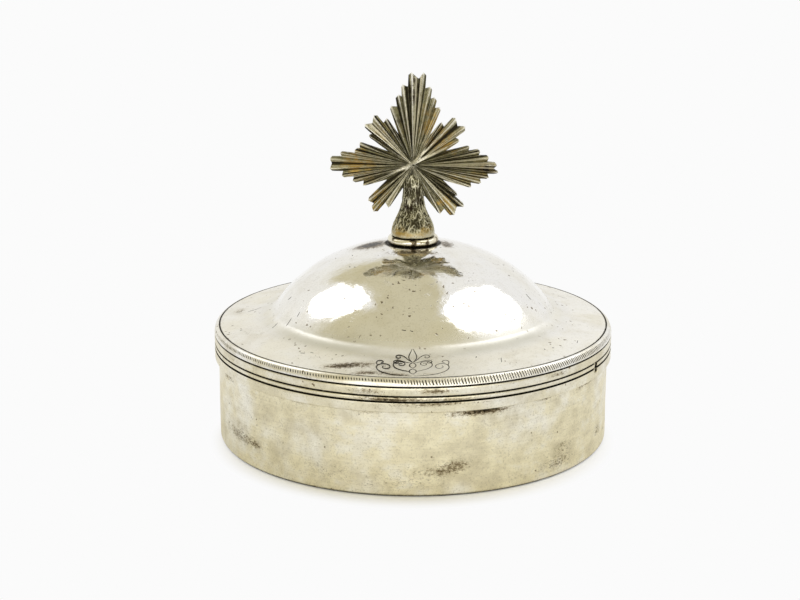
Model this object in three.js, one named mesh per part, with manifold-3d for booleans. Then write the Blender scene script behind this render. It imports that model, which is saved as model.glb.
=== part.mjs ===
// Round silver host box: a straight-walled box, a lift-off domed lid with a reeded rim,
// and a cast cross of pleated rays bolted through the crown of the lid.
// Millimetres, +Z up. The origin is the centre of the ring that the box stands on,
// and the cross faces -Y.
import * as THREE from "three";
import { mergeVertices } from "three/addons/utils/BufferGeometryUtils.js";
import Module from "manifold-3d";

const wasm = await Module();
wasm.setup();

// Box body
const WALL_RADIUS = 68.6; // outside of the straight wall
const WALL_SHEET = 1.2; // silver sheet of the wall
const BODY_HEIGHT = 32.4; // from the table to the top of the body band
const FOOT_ROUND = 1.1; // radius of the lower outer edge
const FOOT_LIP = 4.6; // width of the turned-in lip, measured from the outside
const BASE_SHEET = 1.2; // sheet of the base plate
const BAND_HEIGHT = 3.3; // flat band round the mouth
const BAND_PROUD = 1.4; // how far band and lid rim stand out from the wall
const BAND_EDGE = 0.35; // broken edges of the band
const BEZEL_SHEET = 1; // upright collar that the lid slips over
const BEZEL_DEPTH = 12; // how far the bezel reaches down inside the wall
const BEZEL_RISE = 5.2; // how far it stands above the band
const BEZEL_LEAD = 0.5; // chamfer that leads the lid on

// Lid
const LOWER_REED = 1.7; // height of the narrow reed at the lid's edge
const UPPER_REED = 3.25; // height of the broad reed above it
const REED_DEPTH = 0.7; // depth of the grooves between the reeds
const SHOULDER_HEIGHT = 2.75; // the engraved border's height, above the reeds
const SHOULDER_INSET = 1.87; // how far the border draws in on its way up
const SHOULDER_START = 14; // degrees up the border's curve where it leaves the broad reed
const LEDGE_WIDTH = 2; // ledge inside the rim that carries the dome sheet
const LEDGE_SHEET = 1; // thickness of that ledge
const DOME_SHEET = 1; // sheet of the raised dome and its flange
const FLANGE_WIDTH = 12.7; // nearly flat ring between rim and dome
const FLANGE_SLOPE = 0.17; // its rise for each millimetre inwards
const HOLLOW_WIDTH = 5.3; // hollow curve between flange and dome
const DOME_RISE = 28.4; // height of the crown above the rim's upper edge
const CAP_EDGE_ANGLE = 24; // degrees up the dome's ellipse where the hollow curve begins
const CAP_EDGE_SLOPE = 60; // degrees by which the cap falls there

// Finial
const COLLAR_RADIUS = 8.9;
const COLLAR_HEIGHT = 1.7; // at the crown
const COLLAR_ROUND = 0.85; // half-round edge
const STEM_FOOT_RADIUS = 7.55;
const STEM_FOOT_EDGE = 0.5; // rounding under the foot
const STEM_NECK_RADIUS = 3.25; // half width where the stem meets the rays
const STEM_NECK_DEPTH = 2.2; // half depth there, front to back
const STEM_FLARE_HEIGHT = 7.4; // height at which half of the flare is gone
const STEM_FLARE_POWER = 3.2; // how quickly the bell shape lets go
const STEM_SHOULDER = 16.7; // height where the stem starts to round over
const STEM_HEIGHT = 22.7;
const STEM_RIBS = 12; // bark ribs round the stem
const STEM_RIB_DEPTH = 0.2;
const CROSS_HEIGHT = 25; // centre of the rays above the foot of the stem
const CROSS_REACH = 31.8; // longest ray, from the crossing to its tip
const HUB_HALF = 2; // half thickness at the crossing
const RIDGE_HALF = 1.65; // half thickness on a ridge at its tip
const VALLEY_HALF = 0.75; // half thickness in a valley at the outline
const TIP_DROP = 0.7; // how far a ray's corners lie behind its tip
const VALLEY_ANGLE = 0.4; // degrees from a valley's middle to the corner beside it
const VALLEY_SHIFT = 0.13; // share of the angle by which a valley keeps to the longer ray
const OUTER_ANGLE = 1.3; // degrees that an outermost ray reaches past its ridge

// Fastening under the crown
const STUD_RADIUS = 2;
const SOCKET_DEPTH = 5.5; // how far the stud goes up into the stem
const STUD_TAIL = 1.4; // how far it shows below the nut
const WASHER_RADIUS = 6.5;
const WASHER_SHEET = 0.9;
const NUT_FLATS = 8; // across flats
const NUT_HEIGHT = 3.2;

// Clearances
const JOIN_GAP = 0.3; // soldered or clamped seam
const LID_GAP = 0.3; // parting line between band and lid
const LID_CLEARANCE = 0.35; // radial play of the lid on the bezel

// Registration nick that shows how the lid goes on
const NICK_ANGLE = 62.3; // degrees from the front towards +X
const NICK_WIDTH = 2.2;
const NICK_DEPTH = 0.6;
const NICK_HEIGHT = 1.2; // how far it reaches down into the band
const NICK_OVERRUN = 1; // how far the cutter reaches past the edges it opens

// Steps round the axis
const ROUND_STEPS = 64;
const FINIAL_STEPS = 32;
const STEM_STEPS = STEM_RIBS * 4;

// Steps along the profiles
const FOOT_STEPS = 3;
const REED_STEPS = 5;
const SHOULDER_STEPS = 4;
const CAP_STEPS = 12;
const HOLLOW_STEPS = 5;
const INNER_CAP_STEPS = 8;
const INNER_HOLLOW_STEPS = 3;
const COLLAR_STEPS = 6;
const STEM_FLARE_STEPS = 8;
const STEM_CROWN_STEPS = 3;

// Arms and lobes of the cross, anticlockwise as seen from the front, as the casting has them.
// Lengths here are in hundredths of CROSS_REACH, from the crossing outwards.
// rays: each ray's [angle in degrees from +X, length].
// notch: depth of the valley between the arm's two middle rays.
// root: distance of the bottom of the gap that follows the arm.
const ARMS = [
  { rays: [[-61.6, 62], [-50.9, 71.5], [-40, 72.5], [-35.2, 59]], notch: 4.5, root: 36 },
  {
    rays: [
      ...[[-21.2, 68], [-14.9, 76.5], [-9.6, 83.5], [-5.2, 93]],
      ...[[-0.5, 91], [5.3, 82.5], [11.2, 74], [17.7, 64]],
    ],
    notch: 3.5,
    root: 37,
  },
  { rays: [[27.9, 56.5], [36.2, 69.5], [47.5, 68], [55.8, 55]], notch: 4.5, root: 35.5 },
  {
    rays: [
      ...[[64.8, 68], [72.4, 76], [77.6, 86], [83.6, 100]],
      ...[[91, 99.5], [97.7, 87], [101.6, 77], [111, 67.5]],
    ],
    notch: 6,
    root: 36,
  },
  { rays: [[120.1, 57.5], [129.1, 68], [140.5, 68], [146.5, 57.5]], notch: 5, root: 29 },
  {
    rays: [
      ...[[158.2, 62.5], [167, 65.5], [170.9, 80], [176, 90.5]],
      ...[[182.8, 90.5], [188.9, 78.5], [195.2, 68], [202.8, 59]],
    ],
    notch: 2,
    root: 32,
  },
  { rays: [[219, 63], [230, 67.5], [240.5, 54.5]], notch: 2.5, root: 25 },
  { rays: [[256, 37.5], [269, 39.5], [282, 37.5]], notch: 1.5, root: 37.5 },
];

// Sizes that follow from the ones above
const rimRadius = WALL_RADIUS + BAND_PROUD;
const wallInside = WALL_RADIUS - WALL_SHEET;
const bezelOutside = wallInside - JOIN_GAP;
const rimBore = bezelOutside + LID_CLEARANCE;
const reedTop = LOWER_REED + UPPER_REED;
const rimHeight = reedTop + SHOULDER_HEIGHT;
const rimTopRadius = rimRadius - SHOULDER_INSET;
const domeEdge = rimTopRadius - JOIN_GAP;
const flangeStart = domeEdge - FLANGE_WIDTH;
const capEdge = flangeStart - HOLLOW_WIDTH;
const studBore = STUD_RADIUS + JOIN_GAP;

const radians = THREE.MathUtils.degToRad;

// Points [radius, height] on an ellipse, from one angle to another in degrees.
function ellipseArc(centre, semiAxes, from, to, steps) {
  return Array.from({ length: steps + 1 }, (_, i) => {
    const t = radians(from + ((to - from) * i) / steps);
    return [centre[0] + semiAxes[0] * Math.cos(t), centre[1] + semiAxes[1] * Math.sin(t)];
  });
}

// A closed profile of [radius, height] points, listed anticlockwise, turned about the Z axis.
function turned(profile, steps = ROUND_STEPS) {
  const points = [...profile, profile[0]].map(([r, z]) => new THREE.Vector2(r, z));
  return new THREE.LatheGeometry(points, steps).rotateX(Math.PI / 2);
}

// Height of a profile at a radius, by straight lines between its points.
function heightAt(profile, radius) {
  const i = Math.max(1, profile.findIndex(([r]) => r >= radius));
  const [r0, z0] = profile[i - 1];
  const [r1, z1] = profile[i];
  return z0 + ((z1 - z0) * (radius - r0)) / (r1 - r0);
}

// A closed geometry as a solid for cutting and joining.
function toSolid(geometry) {
  const bare = geometry.clone();
  bare.deleteAttribute("normal");
  bare.deleteAttribute("uv");
  const merged = mergeVertices(bare, 1e-4);
  const triVerts = [];
  for (let i = 0; i < merged.index.count; i += 3) {
    const [a, b, c] = merged.index.array.slice(i, i + 3);
    if (a !== b && b !== c && a !== c) triVerts.push(a, b, c);
  }
  const vertProperties = merged.attributes.position.array;
  return new wasm.Manifold(
    new wasm.Mesh({ numProp: 3, vertProperties, triVerts: new Uint32Array(triVerts) }),
  );
}

function toGeometry(solid) {
  const mesh = solid.getMesh();
  const geometry = new THREE.BufferGeometry();
  geometry.setAttribute("position", new THREE.BufferAttribute(mesh.vertProperties, mesh.numProp));
  geometry.setIndex(new THREE.BufferAttribute(mesh.triVerts, 1));
  geometry.computeVertexNormals();
  return geometry;
}

// Wall with its rounded lower edge and the turned-in lip that the box stands on.
function bodyWall() {
  const lipInside = WALL_RADIUS - FOOT_LIP;
  return turned([
    [lipInside, 0],
    ...ellipseArc(
      [WALL_RADIUS - FOOT_ROUND, FOOT_ROUND],
      [FOOT_ROUND, FOOT_ROUND],
      ...[-90, 0, FOOT_STEPS],
    ),
    [WALL_RADIUS, BODY_HEIGHT],
    [wallInside, BODY_HEIGHT],
    [wallInside, WALL_SHEET],
    [lipInside, WALL_SHEET],
  ]);
}

// Base disc, let in from above and soldered on the lip.
function basePlate() {
  const radius = wallInside - JOIN_GAP;
  return turned([
    [0, 0],
    [radius, 0],
    [radius, BASE_SHEET],
    [0, BASE_SHEET],
  ]);
}

// Flat band soldered round the mouth of the box.
function bodyBand() {
  const inside = WALL_RADIUS + JOIN_GAP;
  return turned([
    [inside, 0],
    [rimRadius - BAND_EDGE, 0],
    [rimRadius, BAND_EDGE],
    [rimRadius, BAND_HEIGHT - BAND_EDGE],
    [rimRadius - BAND_EDGE, BAND_HEIGHT],
    [inside, BAND_HEIGHT],
  ]);
}

// Upright collar inside the mouth. The lid slips over its upper part.
function innerBezel() {
  const inside = bezelOutside - BEZEL_SHEET;
  const height = BEZEL_DEPTH + BEZEL_RISE;
  return turned([
    [inside, 0],
    [bezelOutside, 0],
    [bezelOutside, height - BEZEL_LEAD],
    [bezelOutside - BEZEL_LEAD, height],
    [inside, height],
  ]);
}

// Outside of the dome sheet from the crown to its edge, with height 0 at the rim's upper edge:
// an elliptical cap, a hollow curve tangent to it, and the sloping flange.
function domeProfile(capSteps, hollowSteps) {
  const angle = radians(CAP_EDGE_ANGLE);
  const capSlope = -Math.tan(radians(CAP_EDGE_SLOPE));
  const capRadius = capEdge / Math.cos(angle);
  const capHeight = -capSlope * capRadius * Math.tan(angle);
  const capCentre = [0, DOME_RISE - capHeight];
  const boreAngle = THREE.MathUtils.radToDeg(Math.acos(studBore / capRadius));
  const cap = ellipseArc(capCentre, [capRadius, capHeight], boreAngle, CAP_EDGE_ANGLE, capSteps);
  const capFoot = new THREE.Vector2(...cap.at(-1));
  const flangeTop = new THREE.Vector2(flangeStart, FLANGE_SLOPE * FLANGE_WIDTH);
  // The hollow curve is a quadratic curve. Its middle point is where the two tangents meet.
  const meet =
    (flangeTop.y + FLANGE_SLOPE * flangeTop.x - capFoot.y + capSlope * capFoot.x) /
    (capSlope + FLANGE_SLOPE);
  const corner = new THREE.Vector2(meet, capFoot.y + capSlope * (meet - capFoot.x));
  const hollow = new THREE.QuadraticBezierCurve(capFoot, corner, flangeTop)
    .getPoints(hollowSteps)
    .slice(1)
    .map((p) => [p.x, p.y]);
  return [...cap, ...hollow, [domeEdge, 0]];
}

// The same line moved into the hollow of the dome by the sheet's thickness.
function sunkProfile(profile, depth) {
  return profile.map(([r, z], i) => {
    const before = profile[Math.max(0, i - 1)];
    const after = profile[Math.min(profile.length - 1, i + 1)];
    const along = new THREE.Vector2(after[0] - before[0], after[1] - before[1]).normalize();
    const last = i === 0 || i === profile.length - 1;
    return [last ? r : r + along.y * depth, z - along.x * depth];
  });
}

const domeOutside = domeProfile(CAP_STEPS, HOLLOW_STEPS);
const domeInside = sunkProfile(domeProfile(INNER_CAP_STEPS, INNER_HOLLOW_STEPS), DOME_SHEET);

function lidDome() {
  return turned([...domeInside, ...[...domeOutside].reverse()]);
}

// Reeded rim with the convex border above it and an inner ledge under the dome's flange.
function lidRim() {
  const grooveRadius = rimRadius - REED_DEPTH;
  const reed = (bottom, height) =>
    ellipseArc([grooveRadius, bottom + height / 2], [REED_DEPTH, height / 2], -90, 90, REED_STEPS);
  const border = ellipseArc(
    [rimTopRadius, reedTop],
    [SHOULDER_INSET, SHOULDER_HEIGHT],
    ...[SHOULDER_START, 90, SHOULDER_STEPS],
  );
  const ledgeInside = rimBore - LEDGE_WIDTH;
  const ledgeTop = (radius) =>
    rimHeight + FLANGE_SLOPE * (domeEdge - radius) - DOME_SHEET - JOIN_GAP;
  return turned([
    [rimBore, 0],
    ...reed(0, LOWER_REED),
    ...reed(LOWER_REED, UPPER_REED).slice(1),
    ...border,
    [rimTopRadius, ledgeTop(rimTopRadius)],
    [ledgeInside, ledgeTop(ledgeInside)],
    [ledgeInside, ledgeTop(rimTopRadius) - LEDGE_SHEET],
    [rimBore, ledgeTop(rimTopRadius) - LEDGE_SHEET],
  ]);
}

// Rounded disc between the dome and the stem. Its underside follows the crown.
function finialCollar() {
  const flatEdge = COLLAR_RADIUS - COLLAR_ROUND;
  const under = (radius) => heightAt(domeOutside, radius) - DOME_RISE;
  const edgeMiddle = (under(flatEdge) + COLLAR_HEIGHT) / 2;
  const edgeHalf = COLLAR_HEIGHT - edgeMiddle;
  return turned(
    [
      [studBore, under(studBore)],
      [(studBore + flatEdge) / 2, under((studBore + flatEdge) / 2)],
      ...ellipseArc([flatEdge, edgeMiddle], [COLLAR_ROUND, edgeHalf], -90, 90, COLLAR_STEPS),
      [studBore, COLLAR_HEIGHT],
    ],
    FINIAL_STEPS,
  );
}

// Half size of the stem at a height: a bell that settles on the neck's size.
function stemHalf(height, neck) {
  const bell = 1 / (1 + (Math.max(0, height) / STEM_FLARE_HEIGHT) ** STEM_FLARE_POWER);
  const beyond = Math.max(0, height - STEM_SHOULDER) / (STEM_HEIGHT - STEM_SHOULDER);
  const size = neck + (STEM_FOOT_RADIUS - neck) * bell;
  return size * Math.sqrt(Math.max(0, 1 - beyond ** 2));
}

// Bell-footed stem, round at the foot and flattened at the neck, with ribs like bark.
function stem() {
  const side = [
    ...Array.from({ length: STEM_FLARE_STEPS }, (_, i) =>
      THREE.MathUtils.lerp(STEM_FOOT_EDGE, STEM_SHOULDER, i / STEM_FLARE_STEPS),
    ),
    ...ellipseArc([0, STEM_SHOULDER], [1, STEM_HEIGHT - STEM_SHOULDER], 0, 90, STEM_CROWN_STEPS)
      .slice(0, -1)
      .map(([, h]) => h),
  ].map((h) => [stemHalf(h, STEM_NECK_RADIUS), h]);
  const foot = [STEM_FOOT_RADIUS - STEM_FOOT_EDGE, 0];
  const geometry = turned([[0, 0], foot, ...side, [0, STEM_HEIGHT]], STEM_STEPS);
  const position = geometry.attributes.position;
  for (let i = 0; i < position.count; i++) {
    const [x, y, z] = [position.getX(i), position.getY(i), position.getZ(i)];
    const radius = Math.hypot(x, y);
    if (radius < STEM_RIB_DEPTH) continue;
    const wave = z < STEM_FOOT_EDGE ? 0 : STEM_RIB_DEPTH * Math.cos(STEM_RIBS * Math.atan2(y, x));
    const round = 1 + wave / radius;
    const flat = stemHalf(z, STEM_NECK_DEPTH) / stemHalf(z, STEM_NECK_RADIUS);
    position.setXY(i, x * round, y * round * flat);
  }
  return geometry;
}

// Angle of the valley between two rays. It lies nearer to the longer one.
function valleyBetween([angleA, lengthA], [angleB, lengthB]) {
  const share = 0.5 - VALLEY_SHIFT * Math.sign(lengthA - lengthB);
  return angleA + (angleB - angleA) * share;
}

// Outline of the rays as { angle, radius, half }: each ray has two low corners and a high tip,
// and a low root point lies between neighbouring arms.
function rayOutline() {
  const outline = [];
  const part = CROSS_REACH / 100;
  ARMS.forEach(({ rays, notch, root }, k) => {
    const middle = Math.ceil(rays.length / 2);
    rays.forEach((ray, i) => {
      const [angle, share] = ray;
      const length = share * part;
      const first = i === 0;
      const last = i === rays.length - 1;
      const start = first ? angle - OUTER_ANGLE : valleyBetween(rays[i - 1], ray) + VALLEY_ANGLE;
      const end = last ? angle + OUTER_ANGLE : valleyBetween(ray, rays[i + 1]) - VALLEY_ANGLE;
      const startDrop = i === middle ? notch * part : TIP_DROP;
      const endDrop = i + 1 === middle ? notch * part : TIP_DROP;
      outline.push(
        { angle: start, radius: length - startDrop, half: VALLEY_HALF },
        { angle, radius: length, half: RIDGE_HALF },
        { angle: end, radius: length - endDrop, half: VALLEY_HALF },
      );
    });
    const next = ARMS[(k + 1) % ARMS.length].rays[0][0] + (k + 1 < ARMS.length ? 0 : 360);
    const gap = (rays.at(-1)[0] + next) / 2;
    outline.push({ angle: gap, radius: root * part, half: VALLEY_HALF });
  });
  return outline;
}

// The pleated plate: flat facets run from the thick crossing out to the ridges and valleys.
function rayedPlate() {
  const outline = rayOutline();
  const count = outline.length;
  const points = [
    [0, -HUB_HALF, 0],
    [0, HUB_HALF, 0],
  ];
  for (const side of [-1, 1]) {
    for (const { angle, radius, half } of outline) {
      const t = radians(angle);
      points.push([radius * Math.cos(t), side * half, radius * Math.sin(t)]);
    }
  }
  const faces = [];
  for (let i = 0; i < count; i++) {
    const front = 2 + i;
    const frontNext = 2 + ((i + 1) % count);
    const back = front + count;
    const backNext = frontNext + count;
    faces.push(0, front, frontNext);
    faces.push(1, backNext, back);
    faces.push(front, back, backNext, front, backNext, frontNext);
  }
  const geometry = new THREE.BufferGeometry();
  geometry.setAttribute("position", new THREE.Float32BufferAttribute(points.flat(), 3));
  geometry.setIndex(faces);
  return geometry;
}

// Cross and stem are one casting, bored from below for the stud.
function crossFinial() {
  const socket = new THREE.CylinderGeometry(studBore, studBore, SOCKET_DEPTH * 2, FINIAL_STEPS);
  socket.rotateX(Math.PI / 2);
  const rays = rayedPlate().translate(0, 0, CROSS_HEIGHT);
  return toGeometry(toSolid(stem()).add(toSolid(rays)).subtract(toSolid(socket)));
}

function finialWasher() {
  return turned(
    [
      [studBore, 0],
      [WASHER_RADIUS, 0],
      [WASHER_RADIUS, WASHER_SHEET],
      [studBore, WASHER_SHEET],
    ],
    FINIAL_STEPS,
  );
}

function finialNut() {
  const corner = NUT_FLATS / Math.sqrt(3);
  const hexagon = new THREE.Shape(
    Array.from({ length: 6 }, (_, i) => {
      const t = radians(60 * i);
      return new THREE.Vector2(corner * Math.cos(t), corner * Math.sin(t));
    }),
  );
  hexagon.holes.push(new THREE.Path().absarc(0, 0, studBore, 0, Math.PI * 2, true));
  return new THREE.ExtrudeGeometry(hexagon, {
    depth: NUT_HEIGHT,
    bevelEnabled: false,
    curveSegments: FINIAL_STEPS / 2,
  });
}

// Square cutter for the registration nick, upright at the rim, from one height to another.
function nickCutter(bottom, top) {
  return new THREE.BoxGeometry(2 * NICK_DEPTH, NICK_WIDTH, top - bottom)
    .translate(rimRadius, 0, (bottom + top) / 2)
    .rotateZ(radians(NICK_ANGLE - 90));
}

function cut(geometry, cutter) {
  return toGeometry(toSolid(geometry).subtract(toSolid(cutter)));
}

const silver = { color: 0xd9d2bd, roughness: 0.24, metalness: 1 };
const lidSilver = { color: 0xdedad0, roughness: 0.2, metalness: 1 };
const tarnished = { color: 0x8f8768, roughness: 0.42, metalness: 1 };
const plain = { color: 0xbcb7a6, roughness: 0.4, metalness: 1 };

function piece(name, geometry, finish, height = 0) {
  const mesh = new THREE.Mesh(geometry, new THREE.MeshStandardMaterial(finish));
  mesh.name = name;
  mesh.position.z = height;
  return mesh;
}

const box = new THREE.Group();
box.add(
  piece("body_wall", bodyWall(), silver),
  piece("base_plate", basePlate(), plain, WALL_SHEET + JOIN_GAP),
  piece(
    "body_band",
    cut(bodyBand(), nickCutter(BAND_HEIGHT - NICK_HEIGHT, BAND_HEIGHT + NICK_OVERRUN)),
    silver,
    BODY_HEIGHT - BAND_HEIGHT,
  ),
  piece("inner_bezel", innerBezel(), plain, BODY_HEIGHT - BEZEL_DEPTH),
);

// Heights in the finial group are measured from the crown of the dome.
const washerTop = heightAt(domeInside, WASHER_RADIUS) - DOME_RISE - JOIN_GAP;
const nutBottom = washerTop - WASHER_SHEET - JOIN_GAP - NUT_HEIGHT;
const stemFoot = JOIN_GAP + COLLAR_HEIGHT + JOIN_GAP;
const studBottom = nutBottom - STUD_TAIL;
const studLength = stemFoot + SOCKET_DEPTH - JOIN_GAP - studBottom;
const stud = new THREE.CylinderGeometry(STUD_RADIUS, STUD_RADIUS, studLength, FINIAL_STEPS)
  .rotateX(Math.PI / 2)
  .translate(0, 0, studLength / 2);

const finial = new THREE.Group();
finial.position.z = rimHeight + DOME_RISE;
finial.add(
  piece("finial_collar", finialCollar(), silver, JOIN_GAP),
  piece("cross_finial", crossFinial(), tarnished, stemFoot),
  piece("finial_stud", stud, plain, studBottom),
  piece("finial_washer", finialWasher(), plain, washerTop - WASHER_SHEET),
  piece("finial_nut", finialNut(), plain, nutBottom),
);

const lid = new THREE.Group();
lid.position.z = BODY_HEIGHT + LID_GAP;
lid.add(
  piece("lid_rim", cut(lidRim(), nickCutter(-NICK_OVERRUN, LOWER_REED)), silver),
  piece("lid_dome", lidDome(), lidSilver, rimHeight),
  finial,
);

const hostBox = new THREE.Group();
hostBox.add(box, lid);

export default hostBox;
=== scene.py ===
# %% [markdown]
# # A silver host box
#
# The object is a round silver box for altar breads. Its lid is a raised dome with a reeded rim,
# and a cast cross of pleated rays is bolted through the crown. The packed model gives every
# piece its place and size, but its round pieces have 64 flat sides, and polished silver shows
# each of them. So the turned pieces are made again here as fine smooth surfaces in the same
# place, with the dents, cuts and stains that the old silver shows.

# %% Load the packed model as the fixed frame
import math

import bpy
import numpy as np
from mathutils import Matrix, Vector


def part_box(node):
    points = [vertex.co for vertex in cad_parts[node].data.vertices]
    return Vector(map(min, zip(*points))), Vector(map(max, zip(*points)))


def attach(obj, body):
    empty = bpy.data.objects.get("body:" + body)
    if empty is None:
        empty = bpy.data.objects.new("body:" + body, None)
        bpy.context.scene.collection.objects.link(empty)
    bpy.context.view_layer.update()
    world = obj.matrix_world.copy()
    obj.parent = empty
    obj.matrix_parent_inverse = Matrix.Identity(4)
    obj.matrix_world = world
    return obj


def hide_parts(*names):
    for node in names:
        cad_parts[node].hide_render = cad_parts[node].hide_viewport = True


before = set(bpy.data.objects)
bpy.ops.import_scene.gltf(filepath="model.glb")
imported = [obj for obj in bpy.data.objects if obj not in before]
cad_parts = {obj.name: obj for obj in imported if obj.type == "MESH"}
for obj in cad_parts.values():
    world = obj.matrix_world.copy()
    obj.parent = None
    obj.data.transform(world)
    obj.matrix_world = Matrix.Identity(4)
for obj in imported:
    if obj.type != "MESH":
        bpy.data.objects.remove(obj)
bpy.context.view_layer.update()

# %% [markdown]
# ## Sizes from the packed nodes
#
# Everything below is worked out in millimetres and turned into metres when a mesh is made. The
# outer sizes of the pieces could be typed in again, but then they could drift away from the
# packed model, so they are read from its nodes. What a box round a node doesn't tell, such as
# the slope of the flange, is a named value beside the piece that it shapes.

# %% A node's size in millimetres
MM = 0.001  # metres in a millimetre


def span(node):
    """Lowest and highest corner of a packed node, in millimetres."""
    low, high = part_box(node)
    return np.array(low) / MM, np.array(high) / MM


print("lid's rim, lowest and highest corner:", *(corner.round(1) for corner in span("lid_rim")))

# %% [markdown]
# ## From a profile to a turned surface
#
# Most of the box was turned or raised, so a piece is a profile carried round the axis. The
# profile is a list of radii and heights, and its straight and round stretches are joined end to
# end. Blender's Screw modifier could turn it too. Made as an array, a surface of a hundred
# thousand points takes no time, and a dent is only a number added to it.

# %% Straight and round stretches of a profile
def line(start, end, steps):
    """Points (radius, height) on a straight line: start * (1 - share) + end * share."""
    share = np.linspace(0, 1, steps + 1)[:, None]
    return np.array(start) * (1 - share) + np.array(end) * share


def arc(centre, radii, start, end, steps):
    """Points (radius, height) on an ellipse: centre + radii * (cos, sin), angles in degrees."""
    turn = np.radians(np.linspace(start, end, steps + 1))
    return np.stack([centre[0] + radii[0] * np.cos(turn), centre[1] + radii[1] * np.sin(turn)], 1)


def quarter(centre, radius, start, steps=4):
    """A quarter of a circle, for rounded edges."""
    return arc(centre, (radius, radius), start, start + 90, steps)


def joined(*parts):
    """One profile from several, without the points that repeat where they meet."""
    points = np.concatenate([np.atleast_2d(p) for p in parts])
    step = np.linalg.norm(np.diff(points, axis=0), axis=1)
    points = points[np.append(True, step > 1e-6)]
    if np.linalg.norm(points[0] - points[-1]) < 1e-6:
        points = points[:-1]
    return points


print("a quarter round of 1 mm:", quarter((0, 0), 1, 0).round(2).tolist())

# %% Grids round the axis
def azimuths(count, fine=()):
    """Angles round the axis, from the front towards +X, with extra ones at each fine place.

    fine holds (centre, half width, steps) in radians: the even angles in there are replaced.
    """
    angles = np.linspace(-math.pi, math.pi, count, endpoint=False)
    for centre, half, steps in fine:
        angles = angles[np.abs(angles - centre) > half]
        angles = np.append(angles, np.linspace(centre - half, centre + half, steps))
    return np.sort(angles)


def around(radius, angles, height):
    """Grid of points (radius * sin, -radius * cos, height). The front of the box looks along -Y."""
    grids = np.broadcast_arrays(radius * np.sin(angles), -radius * np.cos(angles), height)
    return np.stack(grids, -1)


def turned(profile, angles):
    """Grid of points: a row for each point of the profile, a column for each angle."""
    return around(profile[:, :1], angles, profile[:, 1:])


def outward(grid, amount):
    """Moves the points of a grid away from the axis by an amount in millimetres."""
    away = grid[..., :2] / np.linalg.norm(grid[..., :2], axis=-1)[..., None]
    grid[..., :2] += away * amount[..., None]
    return grid


def portion(value, whole):
    """value / whole, kept between 0 and 1."""
    return np.clip(value / whole, 0, 1)


def bell(away, width):
    """Bell curve exp(-(away / width) ^ 2)."""
    return np.exp(-((away / width) ** 2))


print("a turned grid of 5 rows and 8 columns:", turned(quarter((9, 0), 1, 0), azimuths(8)).shape)

# %% [markdown]
# ## From a grid to a mesh
#
# Every four neighbours in a grid make one face. Columns close round the axis. Rows close too on a
# ring, such as the wall, and end in a point at the axis on a solid, such as the stud. Whether
# the faces point outwards is told by the volume that they enclose, which then is positive.

# %% Faces between the points of a grid
def grid_faces(rows, columns, ring):
    """Four corner numbers for each face. Columns always close, rows only on a ring."""
    row = np.arange(rows if ring else rows - 1)[:, None]
    column = np.arange(columns)[None, :]
    beside = (column + 1) % columns
    above = (row + 1) % rows
    corners = [row * columns + column, row * columns + beside]
    corners += [above * columns + beside, above * columns + column]
    return np.stack(np.broadcast_arrays(*corners), -1).reshape(-1, 4)


def enclosed_volume(points, quads, fans):
    """Sum of a . (b x c) / 6 over the triangles a, b, c. Outward faces make it positive."""
    triangles = np.concatenate([quads[:, [0, 1, 2]], quads[:, [0, 2, 3]], fans])
    a, b, c = (points[triangles[:, k]] for k in range(3))
    return np.einsum("ij,ij->i", a, np.cross(b, c)).sum() / 6


print("faces of a ring of 3 rows and 4 columns:", len(grid_faces(3, 4, True)))

# %% Mesh objects
def make_mesh(name, points, quads, fans=(), sharp=32, **values):
    """A mesh object from points in millimetres. values are numbers kept at each point."""
    fans = np.array(fans, int).reshape(-1, 3)
    if enclosed_volume(points, quads, fans) < 0:
        quads, fans = quads[:, ::-1], fans[:, ::-1]
    mesh = bpy.data.meshes.new(name)
    mesh.from_pydata((points * MM).tolist(), [], quads.tolist() + fans.tolist())
    for key, value in values.items():
        layer = mesh.attributes.new(key, "FLOAT", "POINT")
        layer.data.foreach_set("value", np.asarray(value, np.float32).ravel())
    mesh.shade_smooth()
    mesh.set_sharp_from_angle(angle=math.radians(sharp))
    piece = bpy.data.objects.new(name, mesh)
    bpy.context.scene.collection.objects.link(piece)
    print(f"{name}: {len(points)} points, {2 * len(quads) + len(fans)} triangles")
    return piece


def ring_piece(name, grid, **values):
    """A mesh from a grid whose rows close on themselves, such as a turned ring."""
    rows, columns = grid.shape[:2]
    return make_mesh(name, grid.reshape(-1, 3), grid_faces(rows, columns, True), **values)


def capped_piece(name, grid, poles, sharp=32, **values):
    """A mesh from a grid that ends in a point at each end, such as a turned solid."""
    rows, columns = grid.shape[:2]
    points = np.concatenate([grid.reshape(-1, 3), poles])
    first, last = rows * columns, rows * columns + 1
    here = np.arange(columns)
    beside = (here + 1) % columns
    top = here + (rows - 1) * columns
    top_beside = beside + (rows - 1) * columns
    fans = np.concatenate([
        np.stack([np.full(columns, first), beside, here], 1),
        np.stack([np.full(columns, last), top, top_beside], 1),
    ])
    values = {key: np.append(np.ravel(v), [0, 0]) for key, v in values.items()}
    return make_mesh(name, points, grid_faces(rows, columns, False), fans, sharp, **values)


def finish(piece, body, slot, material, *nodes):
    """Gives a piece its material and its body, and hides the packed nodes that it stands for."""
    piece.data.materials.append(material)
    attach(piece, body)
    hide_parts(*nodes)
    return piece


print("meshes so far:", len(bpy.data.meshes))
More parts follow.
